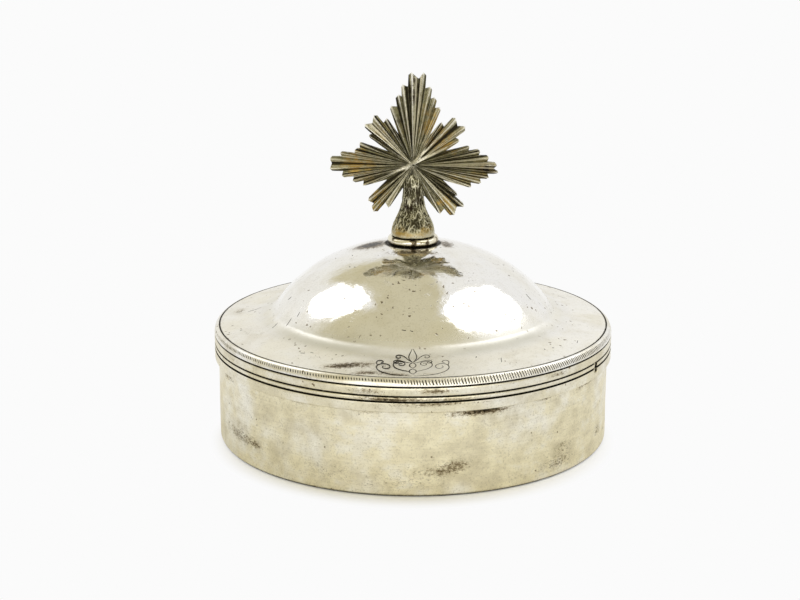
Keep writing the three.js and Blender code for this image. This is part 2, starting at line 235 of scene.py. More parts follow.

# %% [markdown]
# ## Marks of the hammer and of the years
#
# Hand-raised silver is never quite true. Noise would do for its dents, but a few dozen soft
# waves, added up, bend the reflections as the planishing hammer did, and stay smooth. Stains
# are round patches at given places, and the material breaks them up into specks later.

# %% Dents and stains as numbers over a surface
def waves(points, length, depth, seed, count=36):
    """Sum of sines of (point . direction * 2 pi / length + phase), scaled to a mean depth.

    The directions are random, and the lengths lie round the one given in millimetres.
    """
    chance = np.random.default_rng(seed)
    direction = chance.normal(size=(count, 3))
    direction /= np.linalg.norm(direction, axis=1)[:, None]
    number = 2 * math.pi / (length * chance.uniform(0.6, 1.7, count))
    phase = chance.uniform(0, 2 * math.pi, count)
    flat = points.reshape(-1, 3)
    total = np.zeros(len(flat))
    for k in range(count):
        total += np.sin(flat @ direction[k] * number[k] + phase[k])
    return (depth * math.sqrt(2 / count) * total).reshape(points.shape[:-1])


def patches(across, up, places):
    """Sum of bells strength * exp(-(across - x)^2 / width^2 - (up - y)^2 / height^2).

    places are rows of (x, y, width, height, strength).
    """
    total = np.zeros(np.broadcast(across, up).shape)
    for x, y, width, height, strength in places:
        total += strength * np.exp(-((across - x) / width) ** 2 - ((up - y) / height) ** 2)
    return total


print("deepest of ten dents:", waves(np.eye(10, 3) * 50, 20, 0.05, 1).min().round(3), "mm")

# %% [markdown]
# ## Materials as sums of noises
#
# A material is a tree of small nodes, and most of them here are plain arithmetic. A helper with
# short names for the sums makes the trees readable. All patterns are on Object coordinates and
# in millimetres, so they stay on the metal when the lid moves.

# %% A helper for node trees
class Tree:
    """Adds nodes to the node tree of a material or a world, and links them."""

    def __init__(self, owner):
        owner.use_nodes = True
        self.nodes = owner.node_tree.nodes
        self.links = owner.node_tree.links

    def node(self, kind, inputs=None, output=0, **settings):
        """A new node with its inputs given by name or number. The answer is one of its outputs."""
        made = self.nodes.new(kind)
        for key, value in settings.items():
            setattr(made, key, value)
        for key, value in (inputs or {}).items():
            self.put(made.inputs[key], value)
        return made.outputs[output]

    def put(self, socket, value):
        """Links an output to a socket, or sets the socket to a value. Colours are opaque."""
        if isinstance(value, bpy.types.NodeSocket):
            self.links.new(value, socket)
        elif socket.type == "RGBA":
            socket.default_value = (*value, 1.0)
        else:
            socket.default_value = value

    def math(self, operation, a, b=0.0, c=0.0, clamp=False):
        inputs = {0: a, 1: b, 2: c}
        return self.node("ShaderNodeMath", inputs, operation=operation, use_clamp=clamp)

    def times(self, a, b):
        return self.math("MULTIPLY", a, b)

    def plus(self, a, b):
        return self.math("ADD", a, b)

    def minus(self, a, b):
        return self.math("SUBTRACT", a, b)

    def vector(self, operation, a, b):
        return self.node("ShaderNodeVectorMath", {0: a, 1: b}, operation=operation)

    def blend(self, share, a, b):
        """Colour a where the share is 0, colour b where it is 1."""
        inputs = {0: share, 6: a, 7: b}
        return self.node("ShaderNodeMix", inputs, output=2, data_type="RGBA")

    def ramp(self, value, low, high):
        """0 below low, 1 above high, and a smooth step between them."""
        inputs = {"Value": value, "From Min": low, "From Max": high}
        return self.node("ShaderNodeMapRange", inputs, interpolation_type="SMOOTHSTEP")

    def noise(self, place, scale, detail=4.0, roughness=0.6, output=0):
        inputs = {"Vector": place, "Scale": scale, "Detail": detail, "Roughness": roughness}
        return self.node("ShaderNodeTexNoise", inputs, output)

    def stretched(self, place, scale, turn=(0.0, 0.0, 0.0)):
        return self.node("ShaderNodeMapping", {"Vector": place, "Scale": scale, "Rotation": turn})

    def attribute(self, name):
        """The number that a mesh keeps at each point under a name."""
        return self.node("ShaderNodeAttribute", output=2, attribute_name=name)

    def millimetres(self):
        """Object coordinates in millimetres."""
        return self.stretched(self.node("ShaderNodeTexCoord", output=3), (1 / MM,) * 3)

    def surface(self, colour, rough, bump):
        """Hands colour, roughness and bump to the shader of a metal."""
        shader = self.nodes["Principled BSDF"].inputs
        self.put(shader["Base Color"], colour)
        self.put(shader["Roughness"], rough)
        self.put(shader["Normal"], bump)
        shader["Metallic"].default_value = 1.0


print("kinds of sum in the helper:", [name for name in vars(Tree) if not name.startswith("_")])

# %% [markdown]
# ## Old silver
#
# All the metal is silver, so one function makes the material and each piece sets its numbers.
# Clean silver is mixed with a warm film of light tarnish by large soft noise. Clouds of duller
# and of cleaner metal lie over it, and fine lines of brushing run round the piece. One plain
# colour would look new, because it is the film that tells silver from steel.

# %% Metal under its film
DULL_SILVER = (0.60, 0.545, 0.40)
BARE_SILVER = (0.93, 0.92, 0.86)
VEIL_BROWN = (0.42, 0.36, 0.22)
GRAIN_BROWN = (0.30, 0.26, 0.17)


def silver_noises(t, place):
    """The noises that all the silver shares, from the softest to the finest."""
    return {
        "soft": t.noise(place, 0.045, 3.0),
        "clouds": t.noise(t.stretched(place, (1.0, 1.0, 1.4)), 0.085, 5.0, 0.62),
        "middle": t.noise(place, 0.22, 5.0, 0.65),
        "lines": t.noise(t.stretched(place, (0.06, 0.06, 1.9)), 1.0, 5.0, 0.75),
        "fine": t.noise(place, 1.6, 4.0, 0.7),
    }


def filmed(t, noises, clean, film, film_share, mottled, brushed):
    """Colour of the metal under its film, and how strongly a brushed veil lies on it."""
    level = t.ramp(noises["soft"], 0.62 - 0.5 * film_share, 0.78 - 0.4 * film_share)
    colour = t.blend(level, clean, film)
    dull = t.ramp(noises["clouds"], 0.47, 0.68)
    colour = t.blend(t.times(dull, mottled), colour, DULL_SILVER)
    bare = t.ramp(t.minus(1.0, noises["clouds"]), 0.50, 0.66)
    colour = t.blend(t.times(bare, mottled), colour, BARE_SILVER)
    veil = t.plus(t.times(noises["middle"], 0.32), t.times(noises["lines"], 0.25 * brushed))
    veil = t.ramp(veil, 0.16, 0.44)
    colour = t.blend(t.times(veil, 0.45), colour, VEIL_BROWN)
    grain = t.times(t.ramp(noises["fine"], 0.52, 0.66), 0.6 * mottled + 0.04)
    return t.blend(grain, colour, GRAIN_BROWN), veil


print("film colours, from bare to grain:", BARE_SILVER, DULL_SILVER, VEIL_BROWN, GRAIN_BROWN)

# %% [markdown]
# Black tarnish gathers where the mesh says so: stains break up into specks with a brown haze
# round them, and grime fills what lies deep. The same colours paint shade where the mesh's
# numbers hold it: round and under the collar, round the stem's foot and at the wall's foot.
# A noise alone would put them anywhere, and then they wouldn't lie in the grooves.

# %% Stains, grime and painted shade
HAZE_AND_SHADE_BROWN = (0.40, 0.34, 0.20)
BROWN_TARNISH_AND_SHADE = (0.15, 0.105, 0.05)
BLACK_TARNISH_AND_SHADE = (0.022, 0.018, 0.012)


def tarnished(t, place, noises, colour):
    """Darkens a colour by the mesh's numbers for stains and grime, which in places hold painted shade.
    Gives the shares of both too.
    """
    stain = t.attribute("stain")
    haze = t.times(t.ramp(stain, 0.1, 1.3), t.ramp(noises["middle"], 0.35, 0.6))
    colour = t.blend(t.times(haze, 0.5), colour, HAZE_AND_SHADE_BROWN)
    speck = t.noise(t.stretched(place, (0.75, 0.75, 1.3)), 1.3, 6.0, 0.8)
    mask = t.plus(t.times(stain, 0.32), speck)
    stained = t.times(t.ramp(mask, 0.68, 0.86), t.ramp(stain, 0.02, 0.25))
    colour = t.blend(t.times(stained, 0.85), colour, BROWN_TARNISH_AND_SHADE)
    core = t.times(t.ramp(mask, 0.84, 0.98), t.ramp(stain, 0.3, 0.7))
    colour = t.blend(core, colour, BLACK_TARNISH_AND_SHADE)
    unsteady = t.times(t.attribute("recess"), t.ramp(noises["fine"], 0.1, 0.5))
    deep = t.ramp(unsteady, 0.25, 0.8)
    return t.blend(deep, colour, BLACK_TARNISH_AND_SHADE), stained, deep


print("tarnish colours:", HAZE_AND_SHADE_BROWN, BROWN_TARNISH_AND_SHADE, BLACK_TARNISH_AND_SHADE)

# %% [markdown]
# Pits and hair scratches are too small to be worth faces. A pit is the middle of a cell of a
# Voronoi texture, bent out of round by noise and gathered in places. A scratch is the thin line
# where a stretched noise passes its mean.

# %% Pits and hair scratches
SCRATCH_BROWN = (0.2, 0.17, 0.11)
PIT_BEND = 1.9  # millimetres by which noise bends the cells
SCRATCH_TURNS = ((0.3, 0.5, 0.9), (1.1, 0.2, -0.6))


def pitted(t, place, colour, pits):
    """Brown pits in a colour, and their share. 0.3 * pits of the cells have one."""
    bent = t.vector("MULTIPLY", t.noise(place, 0.9, 3.0, 0.5, output=1), (PIT_BEND,) * 3)
    cells = t.node("ShaderNodeTexVoronoi", {"Vector": t.vector("ADD", place, bent), "Scale": 0.55})
    picked = t.node("ShaderNodeSeparateColor", {0: cells.node.outputs["Color"]})
    gathered = t.ramp(t.noise(place, 0.07, 2.0, 0.5), 0.42, 0.62)
    size = t.times(t.plus(gathered, 0.35), 0.2)
    pit = t.times(t.ramp(t.minus(size, cells), 0.0, 0.05), t.math("GREATER_THAN", picked, 1.0 - 0.3 * pits))
    return t.blend(t.times(pit, 0.85), colour, BROWN_TARNISH_AND_SHADE), pit


def scratched(t, place, colour, scratches):
    """Hair scratches in a colour at two angles, and their share."""
    found = []
    for turn in SCRATCH_TURNS:
        streak = t.noise(t.stretched(place, (0.12, 1.9, 1.4), turn), 1.0, 2.0, 0.5)
        from_line = t.math("ABSOLUTE", t.minus(streak, 0.5))
        hair = t.minus(1.0, t.ramp(from_line, 0.0, 0.012))
        found.append(t.times(hair, t.ramp(t.noise(place, 0.35, 2.0), 0.58, 0.7)))
    scratch = t.times(t.math("MAXIMUM", *found), scratches)
    return t.blend(t.times(scratch, 0.6), colour, SCRATCH_BROWN), scratch


print("scratches run at", len(SCRATCH_TURNS), "angles")

# %% [markdown]
# The same patterns go into roughness and bump, because tarnish is duller than the metal and a
# pit catches light. Two more numbers of the mesh are matt, for places that a polishing wheel
# doesn't reach, and dull, a grey that in the dome's hollow is painted shade over the lights'
# reflections.

# %% The silver material
# Grey for the dull number: in the dome's hollow it is painted shade.
DULL_AND_SHADE_GREY = (0.61, 0.60, 0.545)
BUMP_DISTANCE = 0.05  # millimetres


def silver(name, clean, film, film_share, rough, mottled, brushed, pits, scratches=0.5, rippled=0.0):
    """Old silver. clean and film are colours, and film_share is how much of the film shows."""
    material = bpy.data.materials.new(name)
    t = Tree(material)
    place = t.millimetres()
    noises = silver_noises(t, place)
    fine, lines = noises["fine"], noises["lines"]
    colour, veil = filmed(t, noises, clean, film, film_share, mottled, brushed)
    colour, stained, deep = tarnished(t, place, noises, colour)
    colour, pit = pitted(t, place, colour, pits)
    colour, scratch = scratched(t, place, colour, scratches)
    # Painted shade: the dull number greys the metal, and in the dome's hollow it dims the lights'
    # reflections.
    colour = t.blend(t.times(t.attribute("dull"), 0.9), colour, DULL_AND_SHADE_GREY)

    rough_now = t.math("MULTIPLY_ADD", fine, 0.10, rough - 0.05, clamp=True)
    shares = [(veil, 0.25 * rough + 0.03), (lines, 0.12 * brushed), (stained, 0.25), (deep, 0.4)]
    for share, amount in shares + [(t.attribute("matt"), 0.28)]:
        rough_now = t.math("ADD", rough_now, t.times(share, amount), clamp=True)

    height = t.plus(t.times(lines, 0.5 * brushed), t.times(fine, 0.18))
    height = t.minus(t.minus(height, t.times(pit, 1.2)), t.times(scratch, 0.5))
    height = t.plus(height, t.times(t.noise(place, 0.22, 3.0, 0.5), 5.5 * rippled))
    bump = {"Strength": 0.35, "Distance": BUMP_DISTANCE * MM, "Height": height}
    t.surface(colour, rough_now, t.node("ShaderNodeBump", bump))
    print(f"{name}: {len(t.nodes)} nodes")
    return material


# %% [markdown]
# ## The box's wall
#
# The wall is one sheet bent round and soldered. Its lower edge turns in and carries the base,
# and the corner there is rounded. Between its stiff edges the sheet gives a little, so the waves
# are added only there: a wall that is perfectly round mirrors the studio in straight stripes.

# %% Wall's shape
WALL_RADIUS = span("body_wall")[1][0]
BODY_HEIGHT = span("body_wall")[1][2]
BAND_FOOT = span("body_band")[0][2]
WALL_SHEET = 1.2
WALL_INSIDE = WALL_RADIUS - WALL_SHEET
FOOT_ROUND = 1.1
FOOT_LIP = 4.6  # from the wall's outside to the edge of the turned-in lip
ROUND = azimuths(512)

lip_inside = WALL_RADIUS - FOOT_LIP
wall_profile = joined(
    line((lip_inside, 0), (WALL_RADIUS - FOOT_ROUND, 0), 4),
    quarter((WALL_RADIUS - FOOT_ROUND, FOOT_ROUND), FOOT_ROUND, -90, 8),
    line((WALL_RADIUS, FOOT_ROUND), (WALL_RADIUS, BODY_HEIGHT), 48),
    line((WALL_RADIUS, BODY_HEIGHT), (WALL_INSIDE, BODY_HEIGHT), 2),
    line((WALL_INSIDE, BODY_HEIGHT), (WALL_INSIDE, WALL_SHEET), 24),
    line((WALL_INSIDE, WALL_SHEET), (lip_inside, WALL_SHEET), 4),
)
wall_grid = turned(wall_profile, ROUND)
free = portion(wall_grid[..., 2], 6) * portion(BAND_FOOT - wall_grid[..., 2], 5)
outward(wall_grid, (waves(wall_grid, 22, 0.05, 1) + waves(wall_grid, 8, 0.012, 2)) * free)
print(f"wall: radius {WALL_RADIUS:.1f}, height {BODY_HEIGHT:.1f} mm, profile of {len(wall_profile)} points")

# %% [markdown]
# Stains lie where hands and polish leave them: under the band, in a few clouds on the wall and
# along the foot. Painting them would need a picture, so each is a row of five numbers: its angle
# from the front, height, half width in degrees, half height in millimetres and strength.

# %% Wall's stains, painted shadow at its foot, and finish
WALL_STAINS = [
    (-59.5, 8.8, 7, 2.4, 0.75), (-49.8, 8.6, 4, 2.0, 0.75), (-55, 12.5, 11, 3.4, 0.45),
    (-67, 27.4, 7, 1.8, 0.8), (-33, 28.9, 14, 0.9, 0.8), (-12, 28.6, 6, 1.0, 0.7),
    (21, 28.4, 8.5, 1.4, 1.05), (14, 27.8, 12, 1.6, 0.6), (39, 28.7, 4, 1.0, 0.9),
    (57, 28.2, 9, 1.5, 0.8), (13, 10.8, 5.5, 2.2, 0.75), (8, 8.4, 6, 1.9, 0.6),
    (45, 4.6, 9, 3.0, 0.75), (47, 10, 6, 3.2, 0.65), (68, 8, 4, 3, 0.7), (-3, 8, 14, 5, 0.45),
    (-25, 7.5, 10, 3.4, 0.5), (27, 19, 5, 3, 0.4), (-72, 7, 6, 6, 0.35), (-68, 16, 9, 9, 0.15),
    (34, 24, 4, 2, 0.35), (66, 18, 8, 10, 0.15), (-5, 3.5, 26, 2.4, 0.35), (31, 3.2, 5, 2, 0.4),
    (118, 6, 9, 3, 0.8), (150, 28, 16, 1.3, 0.8), (196, 7, 12, 3, 0.7), (-100, 28.3, 12, 1.2, 0.8),
    (95, 14, 9, 6, 0.4), (172, 12, 14, 5, 0.4), (-120, 9, 12, 4, 0.6),
]
WALL_SILVER = silver(
    "wall_silver", (0.95, 0.93, 0.845), (0.86, 0.80, 0.59), 0.6, 0.27, mottled=0.55, brushed=1.0, pits=0.25
)
wall_angle = np.degrees(ROUND)[None, :]
wall_height = wall_profile[:, 1:]
wall_stain = patches(wall_angle, wall_height, WALL_STAINS)
wall_stain = wall_stain + patches(wall_angle - 360, wall_height, WALL_STAINS)
wall_stain = wall_stain * (wall_profile[:, :1] > WALL_INSIDE + 0.1)
# Grime in the seam under the band, and painted shadow that darkens the wall towards its foot, where it
# meets the floor.
wall_recess = np.exp(-np.abs(wall_height - BAND_FOOT) / 0.35) + 1.1 * np.exp(-wall_height / 0.7)
wall_recess = np.broadcast_to(wall_recess, wall_stain.shape)
body_wall = ring_piece("box_wall", wall_grid, stain=wall_stain, recess=wall_recess)
finish(body_wall, "box", "silver_body", WALL_SILVER, "body_wall")

# %% [markdown]
# ## The nick that shows how the lid goes on
#
# It is one touch of a square file across the seam. A Boolean cut would leave poor shading on so
# smooth a ring. Instead the angles are packed more closely there, and the points in the nick
# are pushed towards the axis.

# %% A nick for the band and the reed
RIM_RADIUS = span("lid_rim")[1][0]
RIM_FOOT = span("lid_rim")[0][2]
LOWER_REED = 1.7
REED_DEPTH = 0.7
NICK_ANGLE = math.radians(62.3)
NICK_WIDTH = 2.2
NICK_DEPTH = 0.6
NICK_LOW = BODY_HEIGHT - 1.2
NICK_HIGH = RIM_FOOT + LOWER_REED
NICK_SIDE = math.radians(0.12)  # how far its sides slant
nick_half = NICK_WIDTH / 2 / RIM_RADIUS
FINE_ROUND = azimuths(512, [(NICK_ANGLE, nick_half + 4 * NICK_SIDE, 49)])


def nicked(grid):
    """Sinks the outermost points between the nick's heights and angles towards the axis."""
    beyond = (np.abs(FINE_ROUND - NICK_ANGLE) - nick_half) / NICK_SIDE
    depth = np.clip(1 - beyond, 0, 1)[None, :] * NICK_DEPTH
    inside = (grid[..., 2] > NICK_LOW) & (grid[..., 2] < NICK_HIGH)
    outer = np.linalg.norm(grid[..., :2], axis=-1) > RIM_RADIUS - REED_DEPTH - 0.05
    return outward(grid, -depth * (inside & outer))


def nick_dark(grid):
    """Grime in the nick: 1 at both of its ends, 0.3 in it and 0 beside it."""
    away = np.abs(FINE_ROUND - NICK_ANGLE) / nick_half
    dark = np.clip(1 - np.abs(away - 1) / 0.25, 0, 1) + 0.3 * (away < 1)
    return dark[None, :] * ((grid[..., 2] > NICK_LOW) & (grid[..., 2] < NICK_HIGH))


print(f"nick: {math.degrees(2 * nick_half):.1f} degrees wide, {len(FINE_ROUND)} columns round the ring")

# %% [markdown]
# ## The band round the mouth
#
# A flat strip is soldered round the mouth and stands proud of the wall with a crisp step. Grime
# sits in the seam above it and under its foot.

# %% Band
BAND_EDGE = 0.25
RIM_SILVER = silver(
    "rim_silver", (0.87, 0.84, 0.735), (0.79, 0.735, 0.55), 0.6, 0.24, mottled=0.5, brushed=0.8, pits=0.3
)
band_inside = WALL_RADIUS + 0.1
band_edge = RIM_RADIUS - BAND_EDGE
band_profile = joined(
    line((band_inside, BAND_FOOT), (band_edge, BAND_FOOT), 3),
    quarter((band_edge, BAND_FOOT + BAND_EDGE), BAND_EDGE, -90),
    line((RIM_RADIUS, BAND_FOOT + BAND_EDGE), (RIM_RADIUS, BODY_HEIGHT - BAND_EDGE), 12),
    quarter((band_edge, BODY_HEIGHT - BAND_EDGE), BAND_EDGE, 0),
    line((band_edge, BODY_HEIGHT), (band_inside, BODY_HEIGHT), 3),
)
band_grid = turned(band_profile, FINE_ROUND)
band_stain = patches(np.degrees(FINE_ROUND)[None, :], band_grid[..., 2], [
    (2, 31.9, 13, 0.9, 0.8), (-9, 30.6, 10, 1.0, 0.4), (10, 32, 6, 0.8, 0.4), (22, 31.6, 5, 0.6, 0.5),
    (-40, 32, 12, 0.6, 0.5), (140, 31, 9, 1, 0.6),
])
band_recess = np.abs(band_grid[..., 2] - BODY_HEIGHT) < 0.12
band_recess = np.maximum(band_recess, 0.8 * (band_grid[..., 2] < BAND_FOOT + 0.05))
band_recess = np.maximum(band_recess, nick_dark(band_grid))
body_band = ring_piece("box_band", nicked(band_grid), stain=band_stain, recess=band_recess)
finish(body_band, "box", "silver_body", RIM_SILVER, "body_band")

# %% [markdown]
# ## Bezel and base plate
#
# The bezel is the upright ring inside the mouth that the lid slips over, with its outer edge
# rounded to lead the lid on. The base is a plain disc. Both are turned like the wall, and fans of
# triangles close the disc at the axis. A polishing wheel hardly reaches either, so their silver
# is made duller than the rest.

# %% Bezel
BEZEL_RADIUS = span("inner_bezel")[1][0]
BEZEL_FOOT = span("inner_bezel")[0][2]
BEZEL_TOP = span("inner_bezel")[1][2]
BEZEL_SHEET = 1.0
BEZEL_LEAD = 0.5
INNER_EDGE = 0.2
INNER_SILVER = silver(
    "inner_silver", (0.80, 0.76, 0.64), (0.76, 0.69, 0.50), 0.5, 0.34, mottled=0.4, brushed=0.6, pits=0.2
)
bezel_inside = BEZEL_RADIUS - BEZEL_SHEET
bezel_profile = joined(
    line((bezel_inside, BEZEL_FOOT), (BEZEL_RADIUS, BEZEL_FOOT), 2),
    line((BEZEL_RADIUS, BEZEL_FOOT), (BEZEL_RADIUS, BEZEL_TOP - BEZEL_LEAD), 20),
    quarter((BEZEL_RADIUS - BEZEL_LEAD, BEZEL_TOP - BEZEL_LEAD), BEZEL_LEAD, 0, 6),
    quarter((bezel_inside + INNER_EDGE, BEZEL_TOP - INNER_EDGE), INNER_EDGE, 90),
    line((bezel_inside, BEZEL_TOP - INNER_EDGE), (bezel_inside, BEZEL_FOOT), 20),
)
bezel_grid = turned(bezel_profile, ROUND)
bezel_recess = np.exp(-np.abs(bezel_grid[..., 2] - BODY_HEIGHT) / 0.3)
inner_bezel = ring_piece("bezel", bezel_grid, recess=bezel_recess)
finish(inner_bezel, "box", "plain_silver", INNER_SILVER, "inner_bezel")

# %% Base plate
PLATE_ROUND = 0.25
PLATE_MIDDLE = 1.0  # radius at which the rows of the plate end, and its fans begin


def disc_profile(node, inner, rounding, steps):
    """Half section of a packed disc, with a rounded edge, from its inner radius out and back."""
    low, high = span(node)
    edge = high[0] - rounding
    under = line((inner, low[2]), (edge, low[2]), steps)
    lower_edge = quarter((edge, low[2] + rounding), rounding, -90)
    upper_edge = quarter((edge, high[2] - rounding), rounding, 0)
    return joined(under, lower_edge, upper_edge, line((edge, high[2]), (inner, high[2]), steps))


def on_axis(node):
    """The lowest and the highest point of a packed node on the axis."""
    return [(0, 0, corner[2]) for corner in span(node)]


plate_grid = turned(disc_profile("base_plate", PLATE_MIDDLE, PLATE_ROUND, 30), ROUND)
plate_radius = np.linalg.norm(plate_grid[..., :2], axis=-1)
plate_recess = portion(plate_radius - span("base_plate")[1][0] + 1.2, 1.2)
base_plate = capped_piece("base_disc", plate_grid, on_axis("base_plate"), recess=plate_recess * 0.8)
finish(base_plate, "box", "plain_silver", INNER_SILVER, "base_plate")

# %% [markdown]
# ## The lid's rim
#
# Two reeds run round the lid's edge, with sharp grooves between them that have filled with
# grime. A plain half circle would make the grooves wide. A reed's section is fuller than a
# circle here, so that its face looks nearly flat and its grooves stay narrow.

# %% Reeds
UPPER_REED = 3.25
REED_TOP = RIM_FOOT + LOWER_REED + UPPER_REED
RIM_BORE = BEZEL_RADIUS + 0.35  # the lid's play on the bezel


def reed(bottom, height, power, steps=14):
    """Section of a reed: |x|^power + |y|^power = 1, a round that is fuller than a circle."""
    turn = np.linspace(-math.pi / 2, math.pi / 2, steps + 1)
    out = np.abs(np.cos(turn)) ** (2 / power)
    up = np.sign(np.sin(turn)) * np.abs(np.sin(turn)) ** (2 / power)
    radius = RIM_RADIUS - REED_DEPTH * (1 - out)
    return np.stack([radius, bottom + height / 2 * (1 + up)], 1)


reed_profile = joined(
    line((RIM_BORE, RIM_FOOT), (RIM_RADIUS - REED_DEPTH, RIM_FOOT), 3),
    reed(RIM_FOOT, LOWER_REED, 2.6),
    reed(RIM_FOOT + LOWER_REED, UPPER_REED, 3.2),
    line((RIM_RADIUS - REED_DEPTH, REED_TOP), (RIM_BORE, REED_TOP), 3),
)
reed_grid = turned(reed_profile, FINE_ROUND)
print(f"reeds: from {RIM_FOOT:.1f} to {REED_TOP:.1f} mm, {len(reed_profile)} points in their profile")

# %% Reeds' grime and finish
reed_radius = reed_profile[:, :1]
reed_recess = portion(RIM_RADIUS - 0.04 - reed_radius, 0.15) * (reed_radius > RIM_BORE + 1)
reed_recess = np.maximum(np.broadcast_to(reed_recess, reed_grid.shape[:2]), nick_dark(reed_grid))
reed_stain = patches(np.degrees(FINE_ROUND)[None, :], reed_grid[..., 2], [
    (6, 36.2, 6, 1.0, 1.1), (-6, 33.7, 13, 1.1, 0.85), (-4, 38, 14, 0.9, 0.4), (-12, 36, 8, 1.1, 0.85),
    (43, 36.3, 4.5, 0.9, 1.0), (67, 36, 4, 1, 0.6), (-60, 36, 8, 1, 0.6), (12, 33.4, 8, 0.6, 0.8),
    (-6, 33.3, 7, 0.5, 0.6), (24, 36.8, 8, 0.6, 0.6), (-35, 35.2, 12, 0.7, 0.45),
    (52, 34.6, 9, 0.7, 0.5), (125, 36, 7, 1, 0.8), (-130, 36, 10, 1, 0.7),
])
lid_reeds = ring_piece("rim_reeds", nicked(reed_grid), stain=reed_stain, recess=reed_recess)
finish(lid_reeds, "lid", "silver_body", RIM_SILVER, "lid_rim")

# %% [markdown]
# ## The border
#
# Above the reeds the border bulges up to the dome's edge. Short slanting cuts go round it, each
# made with one push of a graver, and no two are quite alike. They are real grooves in the
# mesh, because a bump would vanish at the outline, with seven columns for each cut.

# %% Slanting cuts as depths
CUTS = 450
COLUMNS_PER_CUT = 7
CUT_SLANT = 0.9  # pitches that a cut leans over from its top to its foot
CUT_HALF = 0.31  # half width of a cut, in pitches
# Degrees from the front, and the share of the border's height where cuts end below and above.
CUT_FEET = ([-70, -25, -14, -6, 2, 25, 60, 100], [0.28, 0.30, 0.44, 0.42, 0.1, 0.03, 0.1, 0.3])
CUT_TOPS = ([-70, -25, -12, 0, 25, 60, 100], [0.70, 0.72, 0.84, 0.8, 0.88, 0.8, 0.7])


def cut_marks(angles, share):
    """Depth share of the slanting cuts, from 0 to 1, at an angle and a share of the border's height.

    A cut is a narrow V: 1 - distance to its middle / half width. Its middle leans with the
    height and is a little unsteady, and its ends follow the two rows of numbers above.
    """
    number = (angles + math.pi) / (2 * math.pi) * CUTS
    unsteady = 0.16 * np.sin(number * 0.61) + 0.12 * np.sin(number * 0.283 + 1)
    phase = number + unsteady + CUT_SLANT * share
    across = np.abs(phase - np.round(phase)) / CUT_HALF
    degrees = np.degrees(angles)
    foot, top = np.interp(degrees, *CUT_FEET), np.interp(degrees, *CUT_TOPS)
    ends = portion(top - share, 0.10) * portion(share - foot, 0.12)
    strength = 0.78 + 0.22 * np.sin(np.round(phase) * 12.9) * np.sin(np.round(phase) * 4.1)
    faint = 1 - 0.55 * portion(np.abs(degrees) - 62, 20)
    return np.clip(1 - across, 0, 1) * ends * strength * faint


print(f"cuts: one every {math.pi * 2 * RIM_RADIUS / CUTS:.2f} mm round the rim")

# %% Border
RIM_TOP = span("lid_rim")[1][2]
SHOULDER_INSET = 1.87  # how far the border draws in on its way up
BORDER_TOP_RADIUS = RIM_RADIUS - SHOULDER_INSET
BORDER_ROWS = 22
CUT_DEPTH = 0.2
BORDER_SILVER = silver(
    "border_silver", (0.88, 0.87, 0.84), (0.83, 0.80, 0.71), 0.5, 0.32, mottled=0.5, brushed=0.3, pits=0.3
)
border_angles = azimuths(CUTS * COLUMNS_PER_CUT)
border_centre = (BORDER_TOP_RADIUS, REED_TOP)
border_profile = joined(
    [border_centre],
    arc(border_centre, (SHOULDER_INSET, RIM_TOP - REED_TOP), 6, 90, BORDER_ROWS),
    line((BORDER_TOP_RADIUS, RIM_TOP), (BORDER_TOP_RADIUS, RIM_TOP - 0.9), 2),
    line((BORDER_TOP_RADIUS, RIM_TOP - 0.9), border_centre, 2),
)
border_grid = turned(border_profile, border_angles)
seen_height = border_profile[:, 1] - 0.3 * border_profile[:, 0]  # as seen from a little above
cut_share = (seen_height - seen_height[1]) / (seen_height[BORDER_ROWS] - seen_height[1])
on_border = (np.arange(len(border_profile)) > 0) & (np.arange(len(border_profile)) <= BORDER_ROWS)
marks = cut_marks(border_angles[None, :], cut_share[:, None]) * on_border[:, None]
inwards = np.array(border_centre) - border_profile
inwards /= np.maximum(np.linalg.norm(inwards, axis=1), 1e-6)[:, None]
outward(border_grid, marks * CUT_DEPTH * inwards[:, :1])
border_grid[..., 2] += marks * CUT_DEPTH * inwards[:, 1:]
edge_dark = np.exp(-(border_profile[:, 1:] - REED_TOP) / 0.12)
top_dark = (border_profile[:, 1:] > RIM_TOP - 0.03) * 0.9
border_recess = np.maximum(np.maximum(np.clip(marks * 1.7, 0, 1), edge_dark), top_dark)
lid_border = ring_piece("rim_border", border_grid, sharp=60, recess=border_recess)
finish(lid_border, "lid", "silver_body", BORDER_SILVER, "lid_rim")

# %% [markdown]
# Inside the rim a narrow ledge carries the dome. It is seen only from below, with the lid
# lifted, so four straight lines are enough for it.

# %% Ledge inside the rim
DOME_SHEET = 1.0
LEDGE_SHEET = 1.0
LEDGE_INSIDE = RIM_BORE - 2.0
ledge_top = RIM_TOP - DOME_SHEET - 0.3
ledge_foot = ledge_top - LEDGE_SHEET
ledge_profile = joined(
    line((LEDGE_INSIDE, ledge_foot), (BORDER_TOP_RADIUS, ledge_foot), 3),
    line((BORDER_TOP_RADIUS, ledge_foot), (BORDER_TOP_RADIUS, ledge_top), 2),
    line((BORDER_TOP_RADIUS, ledge_top), (LEDGE_INSIDE, ledge_top), 3),
    line((LEDGE_INSIDE, ledge_top), (LEDGE_INSIDE, ledge_foot), 2),
)
rim_ledge = ring_piece("rim_ledge", turned(ledge_profile, ROUND))
finish(rim_ledge, "lid", "plain_silver", INNER_SILVER, "lid_rim")

# %% [markdown]
# ## The dome
#
# One sheet makes the dome and its flange: part of an ellipse, a hollow curve that leaves it
# without a crease, and a nearly flat ring. Circles alone would meet with a sudden change of
# bend, which polished silver shows as a ring. The underside is the same line, moved in by the
# sheet's thickness.

